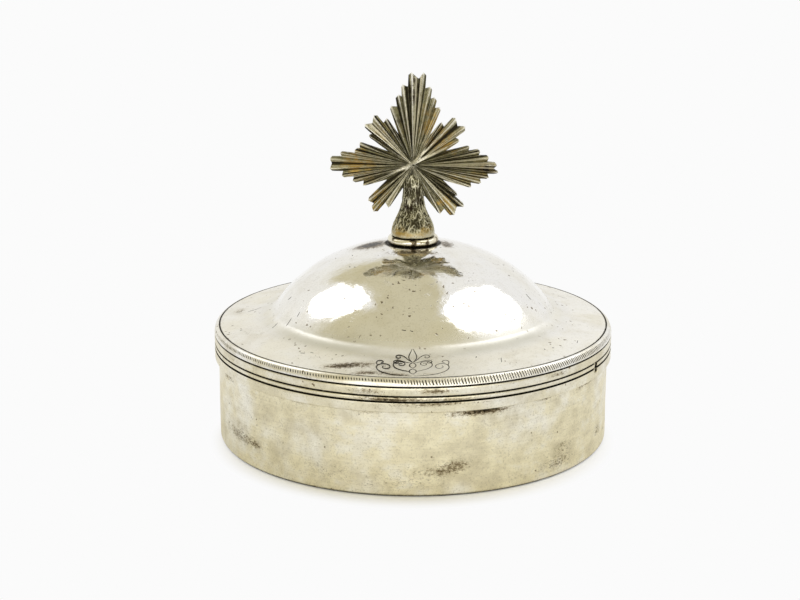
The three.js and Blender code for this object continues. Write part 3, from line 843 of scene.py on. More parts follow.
# %% Line of the dome
FLANGE_SLOPE = 0.17
FLANGE_WIDTH = 12.7
HOLLOW_WIDTH = 5.3
DOME_RISE = 28.4
BORE = 2.3  # hole for the stud
DOME_EDGE = BORDER_TOP_RADIUS - 0.12
FLANGE_START = span("lid_dome")[1][0] - FLANGE_WIDTH
CAP_EDGE = FLANGE_START - HOLLOW_WIDTH
CAP_EDGE_ANGLE = math.radians(24)
CAP_EDGE_SLOPE = math.tan(math.radians(60))
CAP_RADIUS = CAP_EDGE / math.cos(CAP_EDGE_ANGLE)
CAP_HEIGHT = CAP_EDGE_SLOPE * CAP_RADIUS * math.tan(CAP_EDGE_ANGLE)
HOLLOW_START = CAP_EDGE - 1.0  # the hollow is a little wider than in the packed model, so softer
HOLLOW_END = FLANGE_START + 1.5


def dome_line(bore, cap_steps, hollow_steps, flange_steps):
    """Outside of the dome: points (radius, height above the rim), from the bore to the edge.

    The hollow is (1 - t)^2 * foot + 2 t (1 - t) * corner + t^2 * top, and its corner is where
    the tangents of the ellipse and of the flange meet.
    """
    start = math.degrees(math.acos(bore / CAP_RADIUS))
    end = math.acos(HOLLOW_START / CAP_RADIUS)
    centre = (0, DOME_RISE - CAP_HEIGHT)
    cap = arc(centre, (CAP_RADIUS, CAP_HEIGHT), start, math.degrees(end), cap_steps)
    top = np.array([HOLLOW_END, FLANGE_SLOPE * (FLANGE_START + FLANGE_WIDTH - HOLLOW_END)])
    foot = cap[-1]
    slope = CAP_HEIGHT / CAP_RADIUS / math.tan(end)
    rise = top[1] - foot[1] + FLANGE_SLOPE * top[0] - slope * foot[0]
    meet = rise / (FLANGE_SLOPE - slope)
    corner = np.array([meet, foot[1] - slope * (meet - foot[0])])
    share = np.linspace(0, 1, hollow_steps + 1)[:, None]
    hollow = (1 - share) ** 2 * foot + 2 * share * (1 - share) * corner + share**2 * top
    edge_height = FLANGE_SLOPE * (span("lid_dome")[1][0] - DOME_EDGE)
    return joined(cap, hollow, line(top, (DOME_EDGE, edge_height), flange_steps))


outside = dome_line(BORE, 64, 22, 22)
print(f"dome: crown {RIM_TOP + outside[:, 1].max():.1f} mm high, hollow from {HOLLOW_START:.1f} mm out")

# %% Both sides of the sheet, with its dents
def sunk(profile, depth):
    """The same line moved by a depth towards the inside of the dome, square to itself."""
    along = np.gradient(profile, axis=0)
    along /= np.linalg.norm(along, axis=1)[:, None]
    moved = profile + depth * np.stack([along[:, 1], -along[:, 0]], 1)
    moved[[0, -1], 0] = profile[[0, -1], 0]
    return moved


def dome_dents(points):
    """Soft dents of the sheet along Z, in millimetres: three sums of waves, less at edge and crown."""
    depth = waves(points, 26, 0.055, 5) + waves(points, 12, 0.026, 6) + waves(points, 6, 0.008, 7, 60)
    radius = np.linalg.norm(points[..., :2], axis=-1)
    return depth * np.clip((DOME_EDGE - radius) / 4, 0.15, 1) * portion(radius - 8, 6)


def on_dome(x, y):
    """Height of the dome's outside at x and y."""
    x, y = np.broadcast_arrays(x, y)
    height = np.interp(np.hypot(x, y), outside[:, 0], outside[:, 1]) + RIM_TOP
    return height + dome_dents(np.stack([x, y, height], -1))


inside = sunk(dome_line(BORE, 24, 8, 8), DOME_SHEET)
dome_profile = joined(inside, outside[::-1])
dome_profile[:, 1] += RIM_TOP
dome_grid = turned(dome_profile, azimuths(560))
dome_radius = np.linalg.norm(dome_grid[..., :2], axis=-1)
dents = dome_dents(dome_grid)
dome_grid[..., 2] += dents
print(f"dents: up to {np.abs(dents).max():.2f} mm deep")

# %% [markdown]
# The polishing wheel reaches the dome but hardly its foot and the flange, so the metal turns
# matt there. A grey band in the hollow, strongest beside the front, is painted shade that dims
# the lights where they would show a second time, and a little grey lies on the front of the
# flange. Dark patches and a dark ring round the collar are painted shade under it, and stains lie
# at the front of the flange.
# All of that is kept as numbers in the mesh, which the silver material reads.

# %% Dome's stains, painted shade and finish
# The matt haze and the painted grey shade of the hollow are both centred on this radius.
HAZE_AND_SHADE_RADIUS = 51.0  # where the haze in the hollow is strongest
DULLER_RADIUS = 54.0  # outside it the flange is duller still
# The first six patches lie round the collar and are painted shade under it. The others are stains.
DOME_STAINS_AND_COLLAR_SHADE = [
    (-13, 0, 6, 6, 1.25), (-18, 1, 5, 4, 0.8), (11.5, 1, 4, 5, 1.0), (0, -12, 9, 2.6, 1.4),
    (0, 12, 8, 3.5, 1.1), (12, -3, 2.5, 2.5, 0.7), (-14, -64.3, 8, 1.5, 0.95),
    (-23, -58.0, 8, 2.0, 0.95), (-13, -59.5, 15, 4, 0.6), (-5, -66, 4, 1.2, 0.9),
    (6, -65.6, 7, 1.2, 0.6), (33, -55, 6, 3, 0.45), (48, -44, 5, 3, 0.35), (30, -48, 6, 4, 0.3),
    (-52, -24, 5, 7, 0.3), (-62, 6, 3, 5, 0.8), (-30, 52, 9, 6, 0.6), (40, 40, 9, 6, 0.5),
    (10, 58, 9, 5, 0.6), (-58, -20, 5, 7, 0.35),
]
LID_SILVER = silver(
    "lid_silver", (0.905, 0.897, 0.88), (0.893, 0.876, 0.822), 0.45, 0.08, mottled=0.2, brushed=0.1,
    pits=1.0, scratches=1.0, rippled=1.0
)
dome_stain = patches(dome_grid[..., 0], dome_grid[..., 1], DOME_STAINS_AND_COLLAR_SHADE)
edge_seam = np.exp(-np.abs(dome_radius - DOME_EDGE) / 0.2) * 0.75
# Within about 10.8 mm of the axis the dome is darkened round the collar as painted shade. The rest is grime
# in the seam at the dome's edge.
dome_recess = np.maximum(edge_seam, portion(10.8 - dome_radius, 1.6))
dome_matt = 1.1 * portion(dome_radius - CAP_EDGE + 4, 5)
dome_matt += 0.5 * bell(dome_radius - HAZE_AND_SHADE_RADIUS, 2.6)
dome_matt += 0.5 * portion(dome_radius - DULLER_RADIUS, 3)
dome_turn = np.abs(np.degrees(np.arctan2(dome_grid[..., 0], -dome_grid[..., 1])))
# The grey in the hollow is strongest about 36 degrees to either side of the front, where the lights would
# show a second time: painted shade.
beside_lamp_images = np.exp(-(((dome_turn - 36) / 22) ** 4))
dome_dull_and_shade = bell(dome_radius - HAZE_AND_SHADE_RADIUS, 3.0) * (0.3 + 0.7 * beside_lamp_images)
dome_dull_and_shade += 0.16 * bell(dome_turn, 16) * portion(dome_radius - DULLER_RADIUS, 3)
lid_dome = ring_piece(
    "dome_sheet", dome_grid, stain=dome_stain, recess=dome_recess, matt=dome_matt, dull=dome_dull_and_shade
)
finish(lid_dome, "lid", "silver_lid", LID_SILVER, "lid_dome")

# %% [markdown]
# ## Scrolls on the flange
#
# The front of the flange has an engraved ornament: scrolls that mirror each other about a small
# leaf. Its lines could be drawn as curves by hand. A path that bends more and more towards its
# end winds itself into a scroll, so a few numbers are enough for each, and both sides come from
# the same ones.

# %% Paths that wind into scrolls
SCROLL_STEP = 0.12

# Each path: start to the right of the front and up the sheet from its edge, heading in degrees
# from the right, length, and the bend in radians for each millimetre at even places along it.
SCROLLS = [
    ((0.4, 1.1), 3, 25.5, (0.03, 0.02, 0.10, 0.30, 0.42, 0.62, 1.1)),
    ((0.9, 4.3), 22, 18.5, (-0.10, 0.14, 0.30, 0.42, 0.60, 0.95, 1.7)),
    ((0.0, 10.6), 60, 8.4, (0.0, 0.16, 0.22, 0.05, -0.12)),
    ((0.0, 10.6), 44, 11.5, (0.16, 0.06, -0.16, -0.75, -1.2, -1.7)),
    ((0.3, 10.2), 8, 10.5, (0.20, 0.12, -0.30, -0.85, -1.3, -1.8)),
    ((0.0, 2.6), 40, 4.7, (0.05, 0.55, 0.62, 0.55)),
    ((0.0, 6.6), 50, 4.4, (-0.1, 0.45, 0.62, 0.35)),
    ((11.4, 7.6), 84, 7.0, (-0.30, 0.28, 0.75, 1.1, 1.8)),
]


def scroll(start, heading, length, bends):
    """Points of a path whose heading is the running sum of its bend along the way."""
    count = int(length / SCROLL_STEP)
    bend = np.interp(np.linspace(0, 1, count), np.linspace(0, 1, len(bends)), bends)
    turn = math.radians(heading) + np.cumsum(bend) * SCROLL_STEP
    steps = np.stack([np.cos(turn), np.sin(turn)], 1) * SCROLL_STEP
    return np.concatenate([[start], np.array(start) + np.cumsum(steps, axis=0)])


paths = [scroll(*entry) for entry in SCROLLS]
print("points on each path:", [len(path) for path in paths])

# %% [markdown]
# A graver cuts a hair line that fills with grime, so each line is a dark ribbon, about a quarter
# of a millimetre wide and hardly raised. Its root lies in the sheet, so no gap shows under it.

# %% Ribbons laid on the dome
LINE_HALF = 0.15
LINE_RISE = 0.02
LINE_ROOT = 0.12
sheet_way = np.append(0, np.cumsum(np.linalg.norm(np.diff(outside[::-1], axis=0), axis=1)))


def engraved(path, widest=LINE_HALF):
    """A closed ribbon over the dome: four corners at each point of a path, thinner at the ends.

    A path's second number is its way up the sheet from the edge, found on the dome's own line.
    """
    along = np.gradient(path, axis=0)
    along /= np.linalg.norm(along, axis=1)[:, None]
    side = np.stack([-along[:, 1], along[:, 0]], 1)
    share = np.linspace(0, 1, len(path))
    half = widest * (0.45 + 0.55 * np.sin(math.pi * share) ** 0.5)[:, None]
    left, right = path + side * half, path - side * half
    corners = []
    for flat, lift in ((left, LINE_RISE), (right, LINE_RISE), (right, -LINE_ROOT), (left, -LINE_ROOT)):
        radius = np.interp(flat[:, 1], sheet_way, outside[::-1, 0])
        turn = flat[:, 0] / radius
        x, y = radius * np.sin(turn), -radius * np.cos(turn)
        corners.append(np.stack([x, y, on_dome(x, y) + lift], 1))
    return np.stack(corners, 1)


print(f"way up the sheet from its edge to the bore: {sheet_way[-1]:.1f} mm")

# %% Engraved scrolls
def ribbon_piece(name, ribbons, dark):
    """One piece from many closed ribbons."""
    points, faces, caps, count = [], [], [], 0
    for ribbon in ribbons:
        rows = len(ribbon)
        points.append(ribbon.reshape(-1, 3))
        faces.append(grid_faces(rows, 4, False) + count)
        first, last = count, count + 4 * (rows - 1)
        caps += [(first, first + 2, first + 1), (first, first + 3, first + 2)]
        caps += [(last, last + 1, last + 2), (last, last + 2, last + 3)]
        count += 4 * rows
    return make_mesh(name, np.concatenate(points), np.concatenate(faces), caps, recess=np.full(count, dark))


ribbons = [engraved(path) for path in paths]
ribbons += [ribbon[:, [1, 0, 3, 2]] * np.array([-1, 1, 1]) for ribbon in ribbons]
scrolls = ribbon_piece("flange_scrolls", ribbons, 1.2)
finish(scrolls, "lid", "silver_lid", LID_SILVER, "lid_dome")

# %% [markdown]
# Deep scratches and dings are what a lid collects in use. They are short ribbons too, at given
# places on the dome and its flange, because noise alone spreads them too evenly.

# %% Scratches and dings
MARK_HALF = 0.13
# Each mark: start as way to the right and up the sheet from the edge, heading and length.
MARKS = [
    ((-3.6, 25.3), -12, 1.5), ((-1.0, 25.1), -20, 1.3), ((-95.5, 9.3), 42, 6.0), ((-60.8, 15.5), 60, 3.2),
    ((-52.5, 19.1), 50, 4.0), ((50.0, 31.0), -52, 3.6), ((-25.6, 48.8), 20, 0.9), ((-23.0, 49.5), 10, 0.9),
    ((-28.3, 54.0), -10, 1.0), ((-40.2, 8.8), 12, 2.2), ((-36.0, 10.5), 8, 1.4), ((30.2, 9.4), -94, 3.0),
    ((52.8, 7.4), -30, 1.1), ((48.9, 8.3), -60, 0.9), ((67.1, 4.3), 25, 2.0), ((21.1, 11.4), 80, 1.3),
    ((36.6, 23.8), 40, 1.2), ((38.2, 24.5), 10, 1.0), ((-58.2, 26.6), 35, 2.6), ((-46.7, 23.5), 62, 2.2),
    ((-78.9, 5.7), 40, 1.4), ((150, 20), 30, 4.0), ((-160, 9), 15, 3.0), ((120, 7), 70, 2.0),
]
marks_made = [engraved(scroll(*mark, (0.0, 0.1)), MARK_HALF) for mark in MARKS]
dings = ribbon_piece("dome_dings", marks_made, 0.8)
finish(dings, "lid", "silver_lid", LID_SILVER, "lid_dome")

# %% [markdown]
# ## Collar
#
# A bright rounded disc covers the hole in the crown. Such a disc is turned or beaten to sit close
# on the dome, so its underside follows the dome's own line here. Its lower edge and a ring round
# the stem's foot are darkened as painted shadow.

# %% Collar
COLLAR_ROUND = 0.85
COLLAR_GAP = 0.12
COLLAR_SILVER = silver(
    "collar_silver", (0.88, 0.86, 0.77), (0.80, 0.75, 0.58), 0.5, 0.16, mottled=0.4, brushed=0.1, pits=0.3
)
collar_radius, _, collar_top = span("finial_collar")[1]
flat_edge = collar_radius - COLLAR_ROUND
under_edge = float(on_dome(flat_edge, 0)) + COLLAR_GAP
collar_middle = (under_edge + collar_top) / 2
collar_profile = joined(
    [(r, float(on_dome(r, 0)) + COLLAR_GAP) for r in np.linspace(BORE, flat_edge, 9)],
    arc((flat_edge, collar_middle), (COLLAR_ROUND, collar_top - collar_middle), -90, 90, 20),
    line((flat_edge, collar_top), (BORE, collar_top), 6),
)
collar_grid = turned(collar_profile, azimuths(256))
outward(collar_grid, waves(collar_grid, 5, 0.02, 9) * (collar_grid[..., 2] > under_edge))
# Painted shadow: the lowest 0.35 mm of the collar, and the ring round the stem's foot, are darkened.
collar_recess = portion(under_edge + 0.35 - collar_grid[..., 2], 0.35)
stem_foot_shadow = np.linalg.norm(collar_grid[..., :2], axis=-1) < 7.8
collar_recess = np.maximum(collar_recess, stem_foot_shadow * 0.7)
collar_stain = np.clip(waves(collar_grid, 3.2, 1.0, 21), 0, 1.6) * 0.8
collar = ring_piece("collar", collar_grid, recess=collar_recess, stain=collar_stain)
finish(collar, "lid", "silver_body", COLLAR_SILVER, "finial_collar")

# %% [markdown]
# ## Fastening under the crown
#
# A stud from the foot of the casting takes a washer and a hexagon nut. A nut is a disc whose
# radius is cut off at six flats, so its chamfer comes of itself, as it does on a lathe.

# %% Washer and nut
WASHER_ROUND = 0.2
NUT_CHAMFER = 0.5
NUT_FACE_INSET = 0.1
washer_profile = disc_profile("finial_washer", BORE, WASHER_ROUND, 3)
washer = ring_piece("washer", turned(washer_profile, azimuths(160)))
finish(washer, "lid", "plain_silver", INNER_SILVER, "finial_washer")

nut_foot = span("finial_nut")[0][2]
nut_corner, _, nut_top = span("finial_nut")[1]
nut_flat = nut_corner * math.cos(math.pi / 6)
nut_face = nut_flat - NUT_FACE_INSET
nut_angles = azimuths(240)
nut_reach = nut_flat / np.cos((nut_angles + math.pi / 6) % (math.pi / 3) - math.pi / 6)
nut_rows = joined(
    line((BORE, nut_foot), (nut_face, nut_foot), 3),
    line((nut_face, nut_foot), (nut_corner, nut_foot + NUT_CHAMFER), 5),
    line((nut_corner, nut_foot + NUT_CHAMFER), (nut_corner, nut_top - NUT_CHAMFER), 4),
    line((nut_corner, nut_top - NUT_CHAMFER), (nut_face, nut_top), 5),
    line((nut_face, nut_top), (BORE, nut_top), 3),
)
nut_radius = np.minimum(nut_rows[:, :1], nut_reach)
nut = ring_piece("nut", around(nut_radius, nut_angles, nut_rows[:, 1:]))
finish(nut, "lid", "plain_silver", INNER_SILVER, "finial_nut")

# %% Stud
STUD_RADIUS = 2.0
THREAD_PITCH = 0.8
THREAD_DEPTH = 0.22
stud_foot = span("finial_stud")[0][2]
stud_top = span("finial_stud")[1][2]
stud_angles = azimuths(72)
stud_rows = np.linspace(stud_foot + 0.3, stud_top - 0.3, 150)[:, None]
thread = (stud_rows / THREAD_PITCH + stud_angles / (2 * math.pi)) % 1
groove = np.abs(2 * thread - 1)
stud_reach = STUD_RADIUS - THREAD_DEPTH * groove
stud_reach *= np.clip((stud_rows - stud_foot) / 0.6, 0.75, 1)
stud_grid = around(stud_reach, stud_angles, stud_rows)
stud = capped_piece("stud", stud_grid, on_axis("finial_stud"), recess=groove * 0.8)
finish(stud, "lid", "plain_silver", INNER_SILVER, "finial_stud")

# %% [markdown]
# ## The cross
#
# The cross is a casting of pleated rays. Its outline is uneven, as a hand-cut pattern is, so
# each ray has its own angle and length. The outline is a closed line, and every point of the
# surface lies at a share of the way from the crossing to it. The pattern could be drawn by hand
# as a curve, but as numbers a ray can be moved or added without touching the others.

# %% Outline of the rays
CROSS_CENTRE = span("cross_finial")[0][2] + 25.0
CROSS_REACH = 31.8
TIP_DROP = 0.7  # how much lower than its tip a ray's corners are
VALLEY_ANGLE = 0.4  # half the width of a valley's floor, in degrees
VALLEY_SHIFT = 0.13  # share by which a valley lies nearer to the longer of its rays
OUTER_ANGLE = 1.3  # from the tip of an arm's outermost ray to its outer corner, in degrees

# Each arm: rays as (angle in degrees from +X, length), the depth of its middle notch and the
# distance of the gap after it. Lengths are in hundredths of CROSS_REACH.
ARMS = [
    ([(-61.6, 62), (-50.9, 71.5), (-40, 72.5), (-35.2, 59)], 4.5, 36),
    ([(-21.2, 68), (-14.9, 76.5), (-9.6, 83.5), (-5.2, 93),
      (-0.5, 91), (5.3, 82.5), (11.2, 74), (17.7, 64)], 3.5, 37),
    ([(27.9, 56.5), (36.2, 69.5), (47.5, 68), (55.8, 55)], 4.5, 35.5),
    ([(64.8, 68), (72.4, 76), (77.6, 86), (83.6, 100),
      (91, 99.5), (97.7, 87), (101.6, 77), (111, 67.5)], 6, 36),
    ([(120.1, 57.5), (129.1, 68), (140.5, 68), (146.5, 57.5)], 5, 29),
    ([(158.2, 62.5), (167, 65.5), (170.9, 80), (176, 90.5),
      (182.8, 90.5), (188.9, 78.5), (195.2, 68), (202.8, 59)], 2, 32),
    ([(219, 63), (230, 67.5), (240.5, 54.5)], 2.5, 25),
    ([(256, 37.5), (269, 39.5), (282, 37.5)], 1.5, 37.5),
]


def ray_sides(rays, i):
    """Angles of both low corners of ray i, in degrees."""
    angle, length = rays[i]
    sides = []
    for j, sign in ((i - 1, -1), (i + 1, 1)):
        if 0 <= j < len(rays):
            other, other_length = rays[j]
            share = 0.5 - VALLEY_SHIFT * np.sign(length - other_length)
            sides.append(angle + (other - angle) * share - sign * VALLEY_ANGLE)
        else:
            sides.append(angle + sign * OUTER_ANGLE)
    return sides


def ray_outline():
    """Outline of the rays as rows of (angle in degrees, radius, crest).

    A ray is a low corner, a high tip and a low corner. crest is 1 at a tip and 0 elsewhere.
    """
    rows = []
    for k, (rays, notch, root) in enumerate(ARMS):
        middle = math.ceil(len(rays) / 2)
        for i, (angle, length) in enumerate(rays):
            sides = ray_sides(rays, i)
            drops = [TIP_DROP, TIP_DROP]
            if i == middle:
                drops[0] = notch * CROSS_REACH / 100
            if i + 1 == middle:
                drops[1] = notch * CROSS_REACH / 100
            radius = length * CROSS_REACH / 100
            rows.append((sides[0], radius - drops[0], 0))
            rows.append((angle, radius, 1))
            rows.append((sides[1], radius - drops[1], 0))
        after = ARMS[(k + 1) % len(ARMS)][0][0][0] + (0 if k + 1 < len(ARMS) else 360)
        rows.append(((rays[-1][0] + after) / 2, root * CROSS_REACH / 100, 0))
    return np.array(rows, float)


OUTLINE = ray_outline()
print("outline points:", len(OUTLINE), "rays:", int(OUTLINE[:, 2].sum()))

# %% [markdown]
# The outline's straight stretches are cut into short steps. Crests rise sharply out of the
# valleys by a power of their share. Fine lines run along the rays, one height for each column,
# smoothed over five neighbours. They are random, with one seed, so they are the same each time.

# %% Outline in short steps
STEPS_PER_SIDE = 10
CREST_POWER = 1.7
turn = np.radians(OUTLINE[:, 0])
corners = np.stack([OUTLINE[:, 1] * np.cos(turn), OUTLINE[:, 1] * np.sin(turn)], 1)
share = np.arange(STEPS_PER_SIDE)[None, :, None] / STEPS_PER_SIDE


def stepped(values):
    """Each value and the one after it, mixed in even steps: value * (1 - share) + next * share."""
    return values[:, None] * (1 - share) + np.roll(values, -1, axis=0)[:, None] * share


border_line = stepped(corners).reshape(-1, 2)
crest_line = stepped(OUTLINE[:, 2:]).reshape(-1) ** CREST_POWER
columns = len(border_line)
fine_lines = np.tile(np.random.default_rng(3).normal(size=columns), 3)
fine_lines = np.convolve(fine_lines, [0.3, 0.6, 0.8, 0.6, 0.3], "same")[columns : 2 * columns]
fine_lines /= fine_lines.std()
print("columns of the rays:", columns)

# %% [markdown]
# Both faces start thick at the crossing and thin out to the outline, with a sag in the valleys.
# A few raised cords cross over the middle.

# %% Faces of the rays
RAY_ROWS = 34
ROW_SPACING = 1.25  # power that packs the rows towards the crossing
HUB_HALF = 2.0
RIDGE_HALF = 1.65
VALLEY_HALF = 0.75

# Raised cords that cross over the middle: start, end, half width and height.
CORDS = [
    ((-8.5, -3.4), (11.0, 5.8), 0.6, 0.5), ((-5.0, -4.2), (9.5, 10.3), 0.5, 0.42),
    ((-9.8, 6.2), (1.2, -0.6), 0.45, 0.35), ((0.4, 0.6), (-2.9, -7.1), 0.3, 0.3),
    ((-0.2, 0.4), (4.4, -11.3), 0.3, 0.3),
]
half_line = VALLEY_HALF + (RIDGE_HALF - VALLEY_HALF) * crest_line


def cords(x, z):
    """Sum of ridges: height * exp(-(distance to the segment / half width)^2), lower at the ends."""
    total = np.zeros(x.shape)
    for start, end, half_width, height in CORDS:
        along = np.subtract(end, start)
        share = ((x - start[0]) * along[0] + (z - start[1]) * along[1]) / (along @ along)
        share = np.clip(share, 0, 1)
        away = np.hypot(x - start[0] - share * along[0], z - start[1] - share * along[1])
        total += height * np.sin(math.pi * (0.08 + 0.84 * share)) ** 0.6 * bell(away, half_width)
    return total


def ray_face(side):
    """One face of the rays: rows go from the crossing to the outline, and side is -1 at the front."""
    out = 0.03 + 0.97 * np.linspace(0, 1, RAY_ROWS)[:, None] ** ROW_SPACING
    flat = border_line[None] * out[..., None]
    half = HUB_HALF * (1 - out) + half_line[None] * out
    crossing = np.hypot(flat[..., 0], flat[..., 1])
    lines = fine_lines[None] * np.clip(crossing / 9, 0.1, 1) * 0.12
    lines = lines * (1 - crest_line[None])
    deeper = (1 - crest_line[None]) * 0.22 * np.sin(math.pi * np.clip(out, 0, 1)) ** 0.7
    half = half + lines - deeper
    wave = 0.03 * np.sin(crossing * 1.7 + 3 * np.arange(columns)[None] / 7)
    half = half + wave + cords(flat[..., 0], flat[..., 1])
    return np.stack([flat[..., 0], side * half, flat[..., 1] + CROSS_CENTRE], -1), half


front, front_half = ray_face(-1)
back, back_half = ray_face(1)
print(f"half thickness of the rays: {front_half.min():.2f} to {front_half.max():.2f} mm")

# %% Rounded edge between the faces
EDGE_ROWS = 5
EDGE_OUT = 0.12
EDGE_START = 0.995  # share of the outline at which the edge begins
away = border_line / np.linalg.norm(border_line, axis=1)[:, None]
edge_rows = []
for angle in np.linspace(-math.pi / 2, math.pi / 2, EDGE_ROWS + 2)[1:-1]:
    spread = away * EDGE_OUT * math.cos(angle)
    depth = np.where(angle < 0, front_half[-1], back_half[-1]) * math.sin(angle)
    spot = border_line * EDGE_START + spread
    edge_rows.append(np.stack([spot[:, 0], depth, spot[:, 1] + CROSS_CENTRE], -1))
ray_grid = np.concatenate([front, np.array(edge_rows), back[::-1]])
print("rows and columns of the rays:", ray_grid.shape[:2])

# %% [markdown]
# Silver gilt loses its gold where it is touched, and the hollows go dark. The mesh keeps a few
# numbers at each point, such as how high it lies, how golden and how dark it is, and the
# material mixes its colours by them, with noise that is stretched along the rays.

# %% Where the rays are golden, dark and bright
RAY_GOLD = [
    (-19, 0, 6, 5, 1.0), (-12, -12.5, 4, 5, 1.0), (10.5, -15, 4, 4, 1.0), (7, 14, 4, 8, 0.8),
    (12, 7, 5, 4, 0.7), (26, -1, 5, 3, 0.5), (-9, 11, 6, 5, 0.4), (17, -5, 6, 4, 0.4),
]
RAY_DARK = [
    (26, -1, 5, 2.5, 1.2), (0, 26, 2.5, 7, 1.0), (-12, 9, 6, 5, 0.7), (13, -9, 7, 5, 0.7),
    (-7, 0, 8, 3, 0.5), (-5, 16, 3, 6, 0.6),
]
ray_x, ray_z = ray_grid[..., 0], ray_grid[..., 2] - CROSS_CENTRE
crest_rows = np.broadcast_to(crest_line, ray_x.shape)
rays_crest = np.clip(crest_rows**1.35 + 1.9 * cords(ray_x, ray_z), 0, 1)
ray_lines = np.broadcast_to(-fine_lines * (1 - crest_line), ray_x.shape)
ray_across = np.broadcast_to(np.arange(columns) * 0.4, ray_x.shape)
ray_along = np.hypot(ray_x, ray_z) * 0.22
gold = patches(ray_x, ray_z, RAY_GOLD)
dark = patches(ray_x, ray_z, RAY_DARK)
print(f"golden share of the rays: {(gold > 0.5).mean():.2f}, dark share: {(dark > 0.5).mean():.2f}")

# %% Material of the casting
def cast_silver(name):
    """Dark olive silver gilt with bright crests and golden stains."""
    material = bpy.data.materials.new(name)
    t = Tree(material)
    place = t.millimetres()
    crest, lines = t.attribute("crest"), t.attribute("lines")
    along_rays = t.node("ShaderNodeCombineXYZ", {0: t.attribute("across"), 1: t.attribute("along")})
    streaks = t.noise(along_rays, 1.0, 4.0, 0.7)
    fine = t.math("MULTIPLY_ADD", streaks, 0.5, t.times(t.noise(place, 1.7, 5.0, 0.75), 0.5))
    raised = t.plus(crest, t.times(t.minus(fine, 0.47), 2.6))
    golden = t.times(t.attribute("gold"), t.ramp(t.noise(place, 0.5, 3.0, 0.5), 0.3, 0.65))
    darkness = t.times(t.attribute("dark"), t.ramp(t.noise(place, 0.6, 4.0), 0.35, 0.6))
    bright_line = t.times(t.ramp(t.times(lines, -1.0), 0.5, 1.3), 0.75)
    worn = t.times(t.ramp(crest, 0.5, 0.8), t.ramp(fine, 0.38, 0.52))

    soft = t.ramp(t.noise(place, 0.35, 4.0, 0.6), 0.38, 0.62)
    colour = t.blend(soft, (0.085, 0.078, 0.038), (0.19, 0.178, 0.095))
    colour = t.blend(t.ramp(raised, 0.1, 0.7), colour, (0.56, 0.53, 0.39))
    colour = t.blend(t.times(t.ramp(golden, 0.0, 0.7), 0.95), colour, (0.40, 0.275, 0.08))
    colour = t.blend(t.ramp(darkness, 0.1, 1.0), colour, (0.03, 0.02, 0.012))
    colour = t.blend(t.ramp(lines, 0.2, 0.9), colour, (0.03, 0.025, 0.015))
    colour = t.blend(bright_line, colour, (0.62, 0.58, 0.45))
    colour = t.blend(worn, colour, (0.95, 0.93, 0.85))

    rough = t.plus(t.minus(0.42, t.times(worn, 0.2)), t.times(fine, 0.12))
    bump = t.node("ShaderNodeBump", {"Strength": 0.7, "Distance": 0.3 * MM, "Height": fine})
    t.surface(colour, rough, bump)
    print(f"{name}: {len(t.nodes)} nodes")
    return material


CAST_SILVER = cast_silver("cast_silver")

# %% Rays of the cross
ray_poles = [(0, -HUB_HALF, CROSS_CENTRE), (0, HUB_HALF, CROSS_CENTRE)]
rays = capped_piece(
    "cross_rays", ray_grid, ray_poles, sharp=25, crest=rays_crest, gold=gold, dark=dark, lines=ray_lines,
    across=ray_across, along=ray_along
)
finish(rays, "lid", "tarnished_silver", CAST_SILVER, "cross_finial")

# %% [markdown]
# ## The stem
#
# The stem flares like a bell, and its surface is chased like bark: ridges that wander as they
# climb, with small pits between them. It is flat at the neck, where it meets the rays, so its
# depth has a narrower line than its width.

# %% Line of the stem
STEM_FOOT = span("cross_finial")[0][2]
STEM_FOOT_RADIUS = 7.55
STEM_NECK_RADIUS = 3.25
STEM_NECK_DEPTH = 2.2
STEM_FLARE_HEIGHT = 7.4
STEM_FLARE_POWER = 3.2
STEM_SHOULDER = 16.7
STEM_HEIGHT = 22.7


def stem_half(height, neck):
    """Half size of the stem: neck + (foot - neck) / (1 + (height / flare) ^ power).

    Above the shoulder it is rounded off, by sqrt(1 - beyond ^ 2).
    """
    flare = 1 / (1 + (np.maximum(height, 0) / STEM_FLARE_HEIGHT) ** STEM_FLARE_POWER)
    beyond = portion(height - STEM_SHOULDER, STEM_HEIGHT - STEM_SHOULDER)
    return (neck + (STEM_FOOT_RADIUS - neck) * flare) * np.sqrt(1 - beyond**2)


print(f"stem half way up: {stem_half(STEM_HEIGHT / 2, STEM_NECK_RADIUS):.2f} mm from the axis")

# %% Bark of the stem
stem_angles = azimuths(300)
height = np.append(np.linspace(0.0, 0.6, 6), np.linspace(0.75, STEM_HEIGHT - 0.05, 150))[:, None]
stem_wide = stem_half(height, STEM_NECK_RADIUS)
smooth = around(stem_wide, stem_angles, height)
wide_folds = np.abs(waves(smooth * (1, 1, 0.25), 2.1, 1.0, 11, 60))
fine_folds = np.abs(waves(smooth * (1, 1, 0.4), 1.1, 1.0, 12, 60))
bark = np.maximum(np.clip(1 - wide_folds / 0.55, 0, 1), 0.7 * np.clip(1 - fine_folds / 0.6, 0, 1))
rough_part = portion(height - 1.2, 2.0)
bark_depth = 0.34 * (1 - bark) * rough_part
print(f"bark: ridges on {(bark > 0.5).mean():.2f} of the stem, {bark_depth.max():.2f} mm deep")

